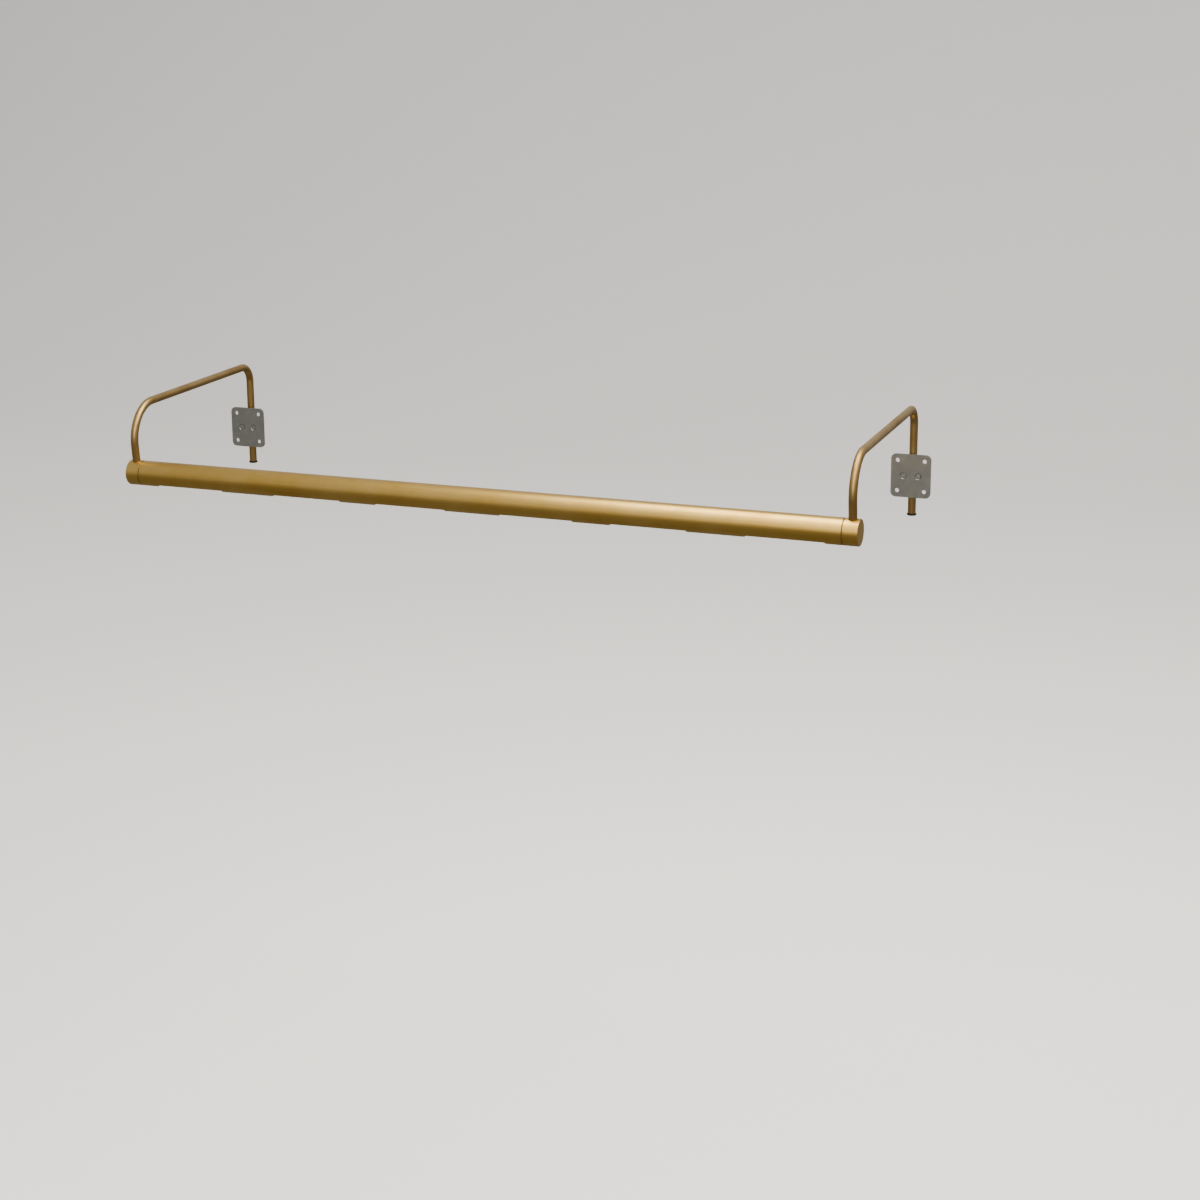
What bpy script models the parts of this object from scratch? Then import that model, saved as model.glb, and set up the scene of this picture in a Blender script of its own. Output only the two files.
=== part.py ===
"""Twin-arm tubular picture light, built as it comes apart on a bench.

A slim brass tube, the shade, hangs on two end caps and turns in them about its own axis. Six lamps
shine through windows milled in its underside. The windows lie in pairs, and the wide land between the
two windows of a pair hides two lampholders, back to back. Each end cap carries a bent hollow arm that
reaches over the top rail of a picture frame. The arm's rear leg slides in a clamp block behind the rail.

Frame: +X runs along the shade, +Y points to the wall and +Z up. The origin is midway between the two
bracket plates, on the plane where they bear on the back of the picture frame, level with their centres.
"""

import math

import bmesh
import bpy
from mathutils import Matrix, Vector

MM = 0.001

# Shade: a tube that turns on the spigots of the end caps.
SHADE_RADIUS = 12.7 * MM
SHADE_WALL = 0.9 * MM
MODULES = 3
WINDOW_LENGTH = 77.0 * MM
PAIR_LAND = 55.0 * MM
MODULE_LAND = 36.0 * MM
WINDOW_HALF_ANGLE = math.radians(60.0)
AIM = math.radians(22.0)

# End caps.
CAP_LENGTH = 14.5 * MM
CAP_CHAMFER = 0.5 * MM
CAP_END_WALL = 3.0 * MM
SPIGOT_LENGTH = 12.0 * MM
SPIGOT_CLEARANCE = 0.35 * MM
SWIVEL_GAP = 1.0 * MM
MOUTH_TO_WINDOW = 5.0 * MM
WASHER_THICKNESS = 0.4 * MM
RING_WIRE = 0.7 * MM
RING_GROOVE_WIDTH = 2.0 * MM
RING_GROOVE_DEPTH = 1.8 * MM
RING_FROM_MOUTH = 2.6 * MM
STOP_FROM_MOUTH = 7.2 * MM
STOP_SLOT_DEPTH = 2.0 * MM
STOP_TRAVEL = math.radians(45.0)
STOP_ANGLE = math.radians(20.0)

# Arms: hollow rod, bent twice, front end in the cap and rear leg behind the frame.
ARM_RADIUS = 3.97 * MM
ARM_WALL = 1.0 * MM
ARM_RISE = 68.8 * MM
ARM_REACH = 243.6 * MM
ARM_LEAN = math.radians(5.9)
FRONT_BEND = 36.6 * MM
REAR_BEND = 18.0 * MM
LEG_DROP = 40.0 * MM
ARM_SEAT_GAP = 0.6 * MM
BEND_STEPS = 6

# Brackets behind the picture frame.
PLATE_WIDTH = 40.0 * MM
PLATE_HEIGHT = 44.0 * MM
PLATE_THICKNESS = 2.0 * MM
PLATE_CORNER = 5.0 * MM
PLATE_HOLE_RADIUS = 2.2 * MM
PLATE_HOLE_INSET = 6.5 * MM
BLOCK_HEIGHT = 18.0 * MM
BLOCK_WALL = 3.4 * MM
BLOCK_SIDE_WALL = 2.2 * MM
BLOCK_BEVEL = 0.8 * MM

# Screws, as shank and head radii and head heights.
SMALL_SHANK = 1.25 * MM
SMALL_HEAD = 2.5 * MM
SMALL_HEAD_HEIGHT = 1.3 * MM
BLOCK_SHANK = 1.5 * MM
BLOCK_SCREW_HEAD = 3.0 * MM
BLOCK_SCREW_LENGTH = 9.0 * MM
GRUB_RADIUS = 1.5 * MM
THUMB_SHANK = 2.0 * MM
THUMB_HEAD = 6.5 * MM
THUMB_HEAD_LENGTH = 7.0 * MM
THUMB_COLLAR = 3.6 * MM
THUMB_COLLAR_LENGTH = 2.5 * MM
SLOT_WIDTH = 0.7 * MM
SLOT_DEPTH = 0.6 * MM

# Inside of the shade, from the wall inwards.
WIRE_SPACE = 2.1 * MM
TRAY_THICKNESS = 0.5 * MM
TRAY_LIP_GAP = 0.4 * MM
TRAY_HALF_ANGLE = math.radians(112.0)
HOLDER_CLEARANCE = 0.6 * MM
HOLDER_STEP = 1.6 * MM
HOLDER_WALL = 0.7 * MM
HOLDER_NECK = 9.0 * MM
HOLDER_FROM_WINDOW = 1.0 * MM
HOLDER_BACK_WALL = 5.0 * MM
WIRE_GAP = 8.0 * MM
CLIP_THICKNESS = 0.7 * MM
CLIP_OPENING = math.radians(50.0)
CLIP_PAD = 8.0 * MM
LAMP_CLEARANCE = 1.2 * MM
LAMP_GLASS = 0.8 * MM
LAMP_SHORT_OF_WINDOW = 4.5 * MM
LAMP_NECK = 4.5 * MM
FILAMENT_RADIUS = 0.4 * MM
WIRE_RADIUS = 0.65 * MM
WIRE_SPREAD = 1.6 * MM
LEAD_RADIUS = 1.6 * MM
LEAD_BELOW_LEG = 2.0 * MM

FIT = 0.3 * MM  # gap left between pieces that touch
RUNNING = 0.4 * MM  # gap round a shank or a pin in its hole
MERGE = 1e-6

# Faces round a turned piece.
ROUND = 24
MEDIUM = 16
SMALL = 12

# What follows from the sizes above.
SHADE_BORE = SHADE_RADIUS - SHADE_WALL
MODULE_LENGTH = 2 * WINDOW_LENGTH + PAIR_LAND
PITCH = MODULE_LENGTH + MODULE_LAND
END_MARGIN = CAP_LENGTH + SPIGOT_LENGTH + MOUTH_TO_WINDOW
HALF_LENGTH = END_MARGIN + (MODULES * MODULE_LENGTH + (MODULES - 1) * MODULE_LAND) / 2
SHOULDER_X = HALF_LENGTH - CAP_LENGTH
SHADE_END_X = SHOULDER_X - SWIVEL_GAP
MOUTH_X = SHOULDER_X - SPIGOT_LENGTH
ARM_X = HALF_LENGTH - CAP_LENGTH / 2
SPIGOT_RADIUS = SHADE_BORE - SPIGOT_CLEARANCE
CAP_BORE = ARM_RADIUS + 1.1 * MM
LEG_Y = PLATE_THICKNESS + FIT + BLOCK_WALL + ARM_RADIUS
SHADE_Y = LEG_Y - ARM_REACH
MODULE_CENTRES = [PITCH * (k - (MODULES - 1) / 2) for k in range(MODULES)]
WINDOW_DIRECTION = AIM - math.pi / 2
CROWN = WINDOW_DIRECTION + math.pi
TRAY_OUTER = SHADE_BORE - WIRE_SPACE
TRAY_INNER = TRAY_OUTER - TRAY_THICKNESS
TRAY_END_X = MOUTH_X - MOUTH_TO_WINDOW + 0.5 * MM
HOLDER_RADIUS = TRAY_INNER - HOLDER_CLEARANCE
NECK_RADIUS = HOLDER_RADIUS - HOLDER_STEP
HOLDER_BORE = NECK_RADIUS - HOLDER_WALL
BASE_RADIUS = HOLDER_BORE - RUNNING
LAMP_RADIUS = TRAY_INNER - LAMP_CLEARANCE
CLIP_INNER = NECK_RADIUS + FIT
CLIP_OUTER = CLIP_INNER + CLIP_THICKNESS
WIRE_CHANNEL = (TRAY_OUTER + SHADE_BORE) / 2 - 0.15 * MM

MATERIALS = {
    "satin_brass": ((0.50, 0.33, 0.12), 0.36, 1.0),
    "zinc_steel": ((0.55, 0.56, 0.58), 0.4, 1.0),
    "white_enamel": ((0.85, 0.85, 0.82), 0.45, 0.0),
    "phenolic": ((0.03, 0.027, 0.025), 0.5, 0.0),
    "lamp_glass": ((0.9, 0.92, 0.92), 0.08, 0.0),
    "tungsten": ((0.25, 0.25, 0.26), 0.4, 1.0),
    "rubber": ((0.02, 0.02, 0.02), 0.75, 0.0),
    "ptfe": ((0.8, 0.78, 0.7), 0.5, 0.0),
    "wire_black": ((0.02, 0.02, 0.022), 0.5, 0.0),
    "wire_white": ((0.75, 0.74, 0.7), 0.5, 0.0),
}


def clear_scene():
    """Removes every object, so that only the light is left at the end."""
    for obj in list(bpy.data.objects):
        bpy.data.objects.remove(obj, do_unlink=True)


def new_collection(name):
    collection = bpy.data.collections.new(name)
    bpy.context.scene.collection.children.link(collection)
    return collection


def principled(name):
    """The material of that name, made on first use."""
    if name in bpy.data.materials:
        return bpy.data.materials[name]
    colour, roughness, metallic = MATERIALS[name]
    material = bpy.data.materials.new(name)
    material.use_nodes = True
    shader = material.node_tree.nodes["Principled BSDF"]
    shader.inputs["Base Color"].default_value = (*colour, 1.0)
    shader.inputs["Roughness"].default_value = roughness
    shader.inputs["Metallic"].default_value = metallic
    return material


def along(direction, start=(0.0, 0.0, 0.0)):
    """The matrix that turns local +Z to a direction and moves the origin to start."""
    turn = Vector(direction).to_track_quat("Z", "Y").to_matrix().to_4x4()
    return Matrix.Translation(Vector(start)) @ turn


def radial(angle, x):
    """The matrix of a piece whose +Z points out of the shade's axis at an angle from +Y towards +Z."""
    return along((0.0, math.cos(angle), math.sin(angle)), (x, SHADE_Y, 0.0))


class Builder:
    """Makes objects in one collection, places them in world space and hangs them on their empties."""

    def __init__(self, parts, cutters):
        self.parts = parts
        self.cutters = cutters

    def empty(self, name, location):
        obj = bpy.data.objects.new(name, None)
        obj.location = location
        self.parts.objects.link(obj)
        return obj

    def part(self, name, data, material, parent, matrix=None):
        """A visible sub-part, placed by its world matrix under a parent that isn't turned."""
        obj = bpy.data.objects.new(name, data)
        obj.data.materials.append(principled(material))
        self.parts.objects.link(obj)
        obj.parent = parent
        obj.matrix_local = Matrix.Translation(-parent.location) @ (matrix or Matrix.Identity(4))
        return obj

    def cutter(self, name, mesh, matrix=None):
        """A helper that is subtracted or added by a Boolean and never shown."""
        obj = bpy.data.objects.new(name, mesh)
        obj.hide_render = True
        obj.display_type = "WIRE"
        obj.matrix_world = matrix or Matrix.Identity(4)
        self.cutters.objects.link(obj)
        return obj


def boolean(obj, tool, operation="DIFFERENCE"):
    modifier = obj.modifiers.new(operation.lower(), "BOOLEAN")
    modifier.operation = operation
    modifier.object = tool
    modifier.solver = "EXACT"


def bevel(obj, width):
    modifier = obj.modifiers.new("bevel", "BEVEL")
    modifier.width = width
    modifier.segments = 1
    modifier.limit_method = "ANGLE"


def solidify(obj, thickness):
    """Gives an open surface a wall inwards from its faces."""
    modifier = obj.modifiers.new("wall", "SOLIDIFY")
    modifier.thickness = thickness
    modifier.offset = -1.0
    modifier.use_even_offset = True


def profile_mesh(name, points, closed):
    """A line of (radius, height) points in the local XZ plane, for a Screw modifier."""
    mesh = bpy.data.meshes.new(name)
    edges = [(k, k + 1) for k in range(len(points) - 1)]
    if closed:
        edges.append((len(points) - 1, 0))
    mesh.from_pydata([(radius, 0.0, height) for radius, height in points], edges, [])
    return mesh


def screw(obj, segments):
    """Turns the object's profile round local Z."""
    modifier = obj.modifiers.new("turn", "SCREW")
    modifier.angle = 2 * math.pi
    modifier.screw_offset = 0.0
    modifier.axis = "Z"
    modifier.steps = segments
    modifier.render_steps = segments
    modifier.use_merge_vertices = True
    modifier.merge_threshold = MERGE
    modifier.use_smooth_shade = True
    return obj


def turned(build, name, points, material, parent, matrix, segments=ROUND, closed=False):
    """A turned sub-part. Points are (radius, height), from the top down the outer side."""
    mesh = profile_mesh(name, points, closed)
    return screw(build.part(name, mesh, material, parent, matrix), segments)


def turned_cutter(build, name, points, matrix, segments=SMALL):
    return screw(build.cutter(name, profile_mesh(name, points, False), matrix), segments)


def pin_profile(radius, low, high):
    return [(0.0, high), (radius, high), (radius, low), (0.0, low)]


def box_mesh(name, boxes):
    """One mesh of separate boxes, each (low corner, high corner, matrix)."""
    form = bmesh.new()
    for low, high, matrix in boxes:
        low, high = Vector(low), Vector(high)
        place = Matrix.Translation((low + high) / 2) @ Matrix.Diagonal((*(high - low), 1.0))
        bmesh.ops.create_cube(form, size=1.0, matrix=(matrix or Matrix.Identity(4)) @ place)
    mesh = bpy.data.meshes.new(name)
    form.to_mesh(mesh)
    form.free()
    return mesh


def pins_mesh(name, pins, segments=SMALL):
    """One mesh of separate round pins, each (radius, low, high, matrix), along the matrix's Z."""
    form = bmesh.new()
    for radius, low, high, matrix in pins:
        place = matrix @ Matrix.Translation((0.0, 0.0, (low + high) / 2))
        bmesh.ops.create_cone(
            form,
            cap_ends=True,
            segments=segments,
            radius1=radius,
            radius2=radius,
            depth=high - low,
            matrix=place,
        )
    mesh = bpy.data.meshes.new(name)
    form.to_mesh(mesh)
    form.free()
    return mesh


def made_mesh(curve_object):
    """The welded mesh of a curve object, which is then removed."""
    graph = bpy.context.evaluated_depsgraph_get()
    mesh = bpy.data.meshes.new_from_object(curve_object.evaluated_get(graph))
    mesh.materials.clear()
    form = bmesh.new()
    form.from_mesh(mesh)
    bmesh.ops.remove_doubles(form, verts=form.verts, dist=MERGE)
    form.to_mesh(mesh)
    form.free()
    bpy.data.objects.remove(curve_object, do_unlink=True)
    return mesh


def wire_curve(name, points, radius, resolution, caps=True):
    """A bevelled line through points, straight between them."""
    curve = bpy.data.curves.new(name, "CURVE")
    curve.dimensions = "3D"
    curve.bevel_depth = radius
    curve.bevel_resolution = resolution
    curve.use_fill_caps = caps
    spline = curve.splines.new("POLY")
    spline.points.add(len(points) - 1)
    for target, point in zip(spline.points, points):
        target.co = (*point, 1.0)
    return curve


def extruded_mesh(name, outline, half_length):
    """A flat outline of (y, z) points, drawn in local XY and extruded both ways along local Z."""
    curve = bpy.data.curves.new(name, "CURVE")
    curve.dimensions = "2D"
    curve.fill_mode = "BOTH"
    curve.extrude = half_length
    spline = curve.splines.new("POLY")
    spline.points.add(len(outline) - 1)
    for target, (across, up) in zip(spline.points, outline):
        target.co = (across, up, 0.0, 1.0)
    spline.use_cyclic_u = True
    carrier = bpy.data.objects.new(name, curve)
    bpy.context.scene.collection.objects.link(carrier)
    bpy.context.view_layer.update()
    mesh = made_mesh(carrier)
    mesh.name = name
    return mesh


def section_matrix(x):
    """Turns a section drawn in local XY into the world's YZ plane, centred on the shade's axis at x."""
    turn = Matrix(((0, 0, 1, 0), (1, 0, 0, 0), (0, 1, 0, 0), (0, 0, 0, 1)))
    return Matrix.Translation((x, SHADE_Y, 0.0)) @ turn


def arc(radius, start, end, steps, centre=(0.0, 0.0)):
    """Points on a circle from one angle to another."""
    angles = [start + (end - start) * k / steps for k in range(steps + 1)]
    return [(centre[0] + radius * math.cos(a), centre[1] + radius * math.sin(a)) for a in angles]


def rounded_path(corners, radii, steps):
    """A path through 2D corners, with each inner corner rounded to its bend radius."""
    path = [Vector(corners[0])]
    for before, corner, after, radius in zip(corners, corners[1:], corners[2:], radii):
        back = (Vector(before) - Vector(corner)).normalized()
        ahead = (Vector(after) - Vector(corner)).normalized()
        half = back.angle(ahead) / 2
        centre = Vector(corner) + (back + ahead).normalized() * (radius / math.sin(half))
        first = Vector(corner) + back * (radius / math.tan(half)) - centre
        last = Vector(corner) + ahead * (radius / math.tan(half)) - centre
        turn = first.angle_signed(last)
        for k in range(steps + 1):
            path.append(centre + Matrix.Rotation(-turn * k / steps, 2) @ first)
    path.append(Vector(corners[-1]))
    return path


def smooth_path(points, per_span):
    """A smooth curve through 3D points, sampled evenly in each span, that doesn't swing wide of them."""
    knots = [Vector(p) for p in points]
    slopes = [(knots[1] - knots[0]) / 2]
    for before, knot, after in zip(knots, knots[1:], knots[2:]):
        reach = min((knot - before).length, (after - knot).length)
        slopes.append((after - before).normalized() * reach)
    slopes.append((knots[-1] - knots[-2]) / 2)
    path = []
    for a, b, leave, arrive in zip(knots, knots[1:], slopes, slopes[1:]):
        for k in range(per_span):
            t = k / per_span
            path.append(
                a * (2 * t**3 - 3 * t**2 + 1)
                + leave * (t**3 - 2 * t**2 + t)
                + b * (3 * t**2 - 2 * t**3)
                + arrive * (t**3 - t**2)
            )
    path.append(knots[-1])
    return path


def arm_corners(extend_rear):
    """The sharp corners of the arm's centreline, as (y, z) from the shade's axis."""
    lean = Vector((-math.sin(ARM_LEAN), math.cos(ARM_LEAN)))
    front_end = lean * (CAP_BORE + ARM_SEAT_GAP)
    front_corner = lean * (ARM_RISE / math.cos(ARM_LEAN))
    foot = Vector((ARM_REACH, -LEG_DROP - extend_rear))
    return [front_end, front_corner, Vector((ARM_REACH, ARM_RISE)), foot]


def arm_line(x, extend_rear=0.0):
    """The arm's centreline in world space, from the cap to the foot of the rear leg."""
    flat = rounded_path(arm_corners(extend_rear), [FRONT_BEND, REAR_BEND], BEND_STEPS)
    return [Vector((x, SHADE_Y + p.x, p.y)) for p in flat]


def slotted_screw(build, name, shank, head, head_height, length, material, parent, matrix):
    """A cheese-head screw with a driver slot. Its head bears at local z 0 and its shank points down."""
    chamfer = head_height / 4
    points = [(0.0, head_height), (head - chamfer, head_height), (head, head_height - chamfer)]
    points += [(head, 0.0), (shank, 0.0), (shank, -length), (0.0, -length)]
    made = turned(build, name, points, material, parent, matrix, SMALL)
    low = (-2 * head, -SLOT_WIDTH / 2, head_height - SLOT_DEPTH)
    high = (2 * head, SLOT_WIDTH / 2, 2 * head_height)
    boolean(made, build.cutter(name + "_slot", box_mesh(name + "_slot", [(low, high, None)]), matrix))
    return made


def make_shade_tube(build, parent):
    """The tube with its windows, and the holes of the stop screws and the clip screws at its back."""
    low, high = -SHADE_END_X, SHADE_END_X
    points = [(SHADE_RADIUS, high), (SHADE_RADIUS, low), (SHADE_BORE, low), (SHADE_BORE, high)]
    axis = along((1, 0, 0), (0, SHADE_Y, 0))
    tube = turned(build, "shade_tube", points, "satin_brass", parent, axis, ROUND, closed=True)
    reach = 2 * SHADE_RADIUS
    sill = SHADE_RADIUS * math.cos(WINDOW_HALF_ANGLE)
    turn = Matrix.Translation((0, SHADE_Y, 0)) @ Matrix.Rotation(AIM, 4, "X")
    windows = []
    for centre in MODULE_CENTRES:
        for start in (centre - MODULE_LENGTH / 2, centre + PAIR_LAND / 2):
            windows.append(((start, -reach, -reach), (start + WINDOW_LENGTH, reach, -sill), turn))
    boolean(tube, build.cutter("window_cutters", box_mesh("window_cutters", windows)))
    hole = SMALL_SHANK + RUNNING
    places = [side * (MOUTH_X + STOP_FROM_MOUTH) for side in (-1, 1)] + MODULE_CENTRES
    pins = [(hole, SHADE_BORE - 1 * MM, reach, radial(STOP_ANGLE, x)) for x in places]
    boolean(tube, build.cutter("shade_screw_holes", pins_mesh("shade_screw_holes", pins)))


def make_end_cap(build, parent, label, side):
    """A turned cap: head, ring groove and spigot, drilled for the lead, the arm and its grub screw."""
    ring = SPIGOT_RADIUS - RING_GROOVE_DEPTH
    ring_low = RING_FROM_MOUTH - RING_GROOVE_WIDTH / 2
    ring_high = RING_FROM_MOUTH + RING_GROOVE_WIDTH / 2
    top = CAP_LENGTH + SPIGOT_LENGTH
    points = [
        (0.0, top),
        (SHADE_RADIUS - CAP_CHAMFER, top),
        (SHADE_RADIUS, top - CAP_CHAMFER),
        (SHADE_RADIUS, SPIGOT_LENGTH),
        (SPIGOT_RADIUS, SPIGOT_LENGTH),
        (SPIGOT_RADIUS, ring_high),
        (ring, ring_high),
        (ring, ring_low),
        (SPIGOT_RADIUS, ring_low),
        (SPIGOT_RADIUS, 0.0),
        (CAP_BORE, 0.0),
        (CAP_BORE, top - CAP_END_WALL),
        (0.0, top - CAP_END_WALL),
    ]
    axis = along((side, 0, 0), (side * MOUTH_X, SHADE_Y, 0))
    cap = turned(build, f"{label}_end_cap", points, "satin_brass", parent, axis)
    arm_x = side * ARM_X
    lean = along((0, -math.sin(ARM_LEAN), math.cos(ARM_LEAN)), (arm_x, SHADE_Y, 0))
    grub = grub_matrix(arm_x)
    drills = [
        (ARM_RADIUS + FIT, 0.0, 2 * SHADE_RADIUS, lean),
        (GRUB_RADIUS + FIT, 0.0, 2 * SHADE_RADIUS, grub),
    ]
    for k, drill in enumerate(drills):
        name = f"{label}_cap_drill_{k}"
        boolean(cap, build.cutter(name, pins_mesh(name, [drill], MEDIUM)))
    half = STOP_TRAVEL + (SMALL_SHANK + RUNNING) / (SPIGOT_RADIUS - STOP_SLOT_DEPTH)
    outline = arc(SPIGOT_RADIUS - STOP_SLOT_DEPTH, STOP_ANGLE - half, STOP_ANGLE + half, 12)
    outline += arc(SHADE_RADIUS, STOP_ANGLE + half, STOP_ANGLE - half, 12)
    slot = extruded_mesh(f"{label}_stop_slot", outline, SMALL_SHANK + RUNNING)
    place = section_matrix(side * (MOUTH_X + STOP_FROM_MOUTH))
    boolean(cap, build.cutter(f"{label}_stop_slot", slot, place))


def grub_matrix(arm_x):
    """Where the grub screw enters the cap: from behind, square to the arm's inserted end."""
    middle = (CAP_BORE + ARM_SEAT_GAP + SHADE_RADIUS) / 2
    lean = Vector((0.0, -math.sin(ARM_LEAN), math.cos(ARM_LEAN)))
    start = Vector((arm_x, SHADE_Y, 0.0)) + lean * middle
    return along((0, math.cos(ARM_LEAN), math.sin(ARM_LEAN)), start)


def make_cap_fittings(build, parent, label, side):
    """The swivel washer, the friction ring and the grub screw of one cap."""
    outer, inner = SHADE_RADIUS - 0.6 * MM, SPIGOT_RADIUS + FIT
    half = WASHER_THICKNESS / 2
    points = [(outer, half), (outer, -half), (inner, -half), (inner, half)]
    place = along((1, 0, 0), (side * (SHOULDER_X - SWIVEL_GAP / 2), SHADE_Y, 0))
    turned(build, f"{label}_swivel_washer", points, "ptfe", parent, place, ROUND, closed=True)
    middle = SPIGOT_RADIUS - RING_GROOVE_DEPTH + FIT + RING_WIRE
    points = [(middle + r, z) for r, z in arc(RING_WIRE, math.pi, -math.pi, 6)[:-1]]
    place = along((1, 0, 0), (side * (MOUTH_X + RING_FROM_MOUTH), SHADE_Y, 0))
    turned(build, f"{label}_friction_ring", points, "rubber", parent, place, MEDIUM, closed=True)
    reach = math.sqrt(SHADE_RADIUS**2 - ((CAP_BORE + ARM_SEAT_GAP + SHADE_RADIUS) / 2) ** 2)
    points = pin_profile(GRUB_RADIUS, ARM_RADIUS + FIT, reach - 0.2 * MM)
    grub = grub_matrix(side * ARM_X)
    made = turned(build, f"{label}_arm_grub_screw", points, "zinc_steel", parent, grub, SMALL)
    low = (-2 * GRUB_RADIUS, -SLOT_WIDTH / 2, reach - SLOT_DEPTH)
    high = (2 * GRUB_RADIUS, SLOT_WIDTH / 2, 2 * reach)
    name = f"{label}_grub_slot"
    boolean(made, build.cutter(name, box_mesh(name, [(low, high, None)]), grub))


def make_arm(build, parent, label, side):
    """A bent hollow rod, and what closes its lower end."""
    curve = wire_curve(f"{label}_arm", arm_line(side * ARM_X), ARM_RADIUS, 4, caps=False)
    carrier = bpy.data.objects.new(f"{label}_arm_line", curve)
    bpy.context.scene.collection.objects.link(carrier)
    bpy.context.view_layer.update()
    arm = build.part(f"{label}_arm", made_mesh(carrier), "satin_brass", parent)
    solidify(arm, ARM_WALL)
    bore = ARM_RADIUS - ARM_WALL
    flange, depth = ARM_RADIUS + 0.7 * MM, 6.0 * MM
    foot = along((0, 0, 1), (side * ARM_X, LEG_Y, -LEG_DROP))
    below = 2.0 * MM
    if side < 0:
        points = [(0.0, depth), (bore - RUNNING, depth), (bore - RUNNING, -FIT), (flange, -FIT)]
        points += [(flange, -below), (0.0, -below)]
        turned(build, f"{label}_arm_plug", points, "rubber", parent, foot, SMALL)
        return
    hole = LEAD_RADIUS + FIT
    points = [(bore - FIT, depth), (bore - FIT, -FIT), (flange, -FIT)]
    points += [(flange, -below), (hole, -below), (hole, depth)]
    turned(build, "cord_inlet_bushing", points, "rubber", parent, foot, SMALL, closed=True)


def make_arm_lead(build, parent):
    """The feed inside the right arm, from the inlet bushing to the mouth of the spigot."""
    line = arm_line(ARM_X, extend_rear=LEAD_BELOW_LEG)
    turn = CAP_BORE - LEAD_RADIUS - FIT
    centre = Vector((ARM_X - turn, SHADE_Y, 0.0))
    lean = Vector((0.0, -math.sin(ARM_LEAN), math.cos(ARM_LEAN)))
    bend = [centre + Vector((turn * math.cos(a), 0, 0)) + lean * (turn - turn * math.sin(a))
            for a in (math.radians(20 * k) for k in range(0, 5))]
    end = Vector((MOUTH_X + SPIGOT_LENGTH / 2, SHADE_Y, 0.0))
    curve = wire_curve("arm_lead", [end, *reversed(bend), *line], LEAD_RADIUS, 1)
    build.part("arm_lead", curve, "wire_black", parent)


def make_tray(build, parent):
    """The reflector tray: an arc of sheet over the lamps, whose lips bear on the tube."""
    lip = SHADE_BORE - TRAY_LIP_GAP
    start, end = CROWN - TRAY_HALF_ANGLE, CROWN + TRAY_HALF_ANGLE
    skin = TRAY_THICKNESS / TRAY_OUTER
    outline = arc(lip, start, start + skin, 1)
    outline += arc(TRAY_OUTER, start + skin, end - skin, MEDIUM)
    outline += arc(lip, end - skin, end, 1)
    outline += arc(TRAY_INNER, end, start, MEDIUM)
    mesh = extruded_mesh("reflector_tray", outline, TRAY_END_X)
    tray = build.part("reflector_tray", mesh, "white_enamel", parent, section_matrix(0.0))
    wire_half, side_half = WIRE_GAP / 2 + 0.5 * MM, WIRE_SPREAD + WIRE_RADIUS + RUNNING
    holes = [((-side_half, -wire_half, 0.0), (side_half, wire_half, SHADE_BORE), crown_matrix(x))
             for x in MODULE_CENTRES]
    boolean(tray, build.cutter("tray_wire_holes", box_mesh("tray_wire_holes", holes)))
    pins = [(SMALL_SHANK + RUNNING, HOLDER_RADIUS, SHADE_BORE, radial(STOP_ANGLE, x)) for x in MODULE_CENTRES]
    boolean(tray, build.cutter("tray_screw_holes", pins_mesh("tray_screw_holes", pins)))


def crown_matrix(x):
    """Local +Z points from the shade's axis to the tray's crown, and local Y runs along the shade."""
    up = Vector((0.0, math.cos(CROWN), math.sin(CROWN)))
    ahead = Vector((1.0, 0.0, 0.0))
    across = ahead.cross(up)
    turn = Matrix((across, ahead, up)).transposed().to_4x4()
    return Matrix.Translation((x, SHADE_Y, 0.0)) @ turn


def make_clip(build, parent, number, centre):
    """A C-shaped spring clip round the necks of two lampholders, and the screw that holds it to the tube."""
    half_length = WIRE_GAP / 2 + HOLDER_NECK - 1.0 * MM
    mouth = STOP_ANGLE + math.pi
    start, end = mouth + CLIP_OPENING, mouth - CLIP_OPENING + 2 * math.pi
    outline = arc(CLIP_OUTER, start, end, MEDIUM) + arc(CLIP_INNER, end, start, MEDIUM)
    name = f"lampholder_clip_{number}"
    mesh = extruded_mesh(name, outline, half_length)
    clip = build.part(name, mesh, "zinc_steel", parent, section_matrix(centre))
    place = radial(STOP_ANGLE, centre)
    pad = (-CLIP_PAD / 2, -CLIP_PAD / 2, CLIP_INNER + 0.4 * CLIP_THICKNESS), (
        CLIP_PAD / 2, CLIP_PAD / 2, TRAY_INNER * math.cos(CLIP_PAD / 2 / TRAY_INNER) - FIT)
    boolean(clip, build.cutter(name + "_pad", box_mesh(name + "_pad", [(*pad, None)]), place), "UNION")
    wire_half, side_half = WIRE_GAP / 2, WIRE_SPREAD + WIRE_RADIUS + RUNNING
    gap = (-side_half, -wire_half, 0.0), (side_half, wire_half, SHADE_BORE)
    boolean(clip, build.cutter(name + "_gap", box_mesh(name + "_gap", [(*gap, crown_matrix(centre))])))
    hole = [(SMALL_SHANK + FIT, NECK_RADIUS, SHADE_BORE, place)]
    boolean(clip, build.cutter(name + "_hole", pins_mesh(name + "_hole", hole)))
    head = radial(STOP_ANGLE, centre) @ Matrix.Translation((0, 0, SHADE_RADIUS + FIT / 2))
    length = SHADE_RADIUS + FIT / 2 - CLIP_INNER - FIT
    slotted_screw(build, f"clip_screw_{number}", SMALL_SHANK, SMALL_HEAD, SMALL_HEAD_HEIGHT, length,
                  "satin_brass", parent, head)


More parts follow.
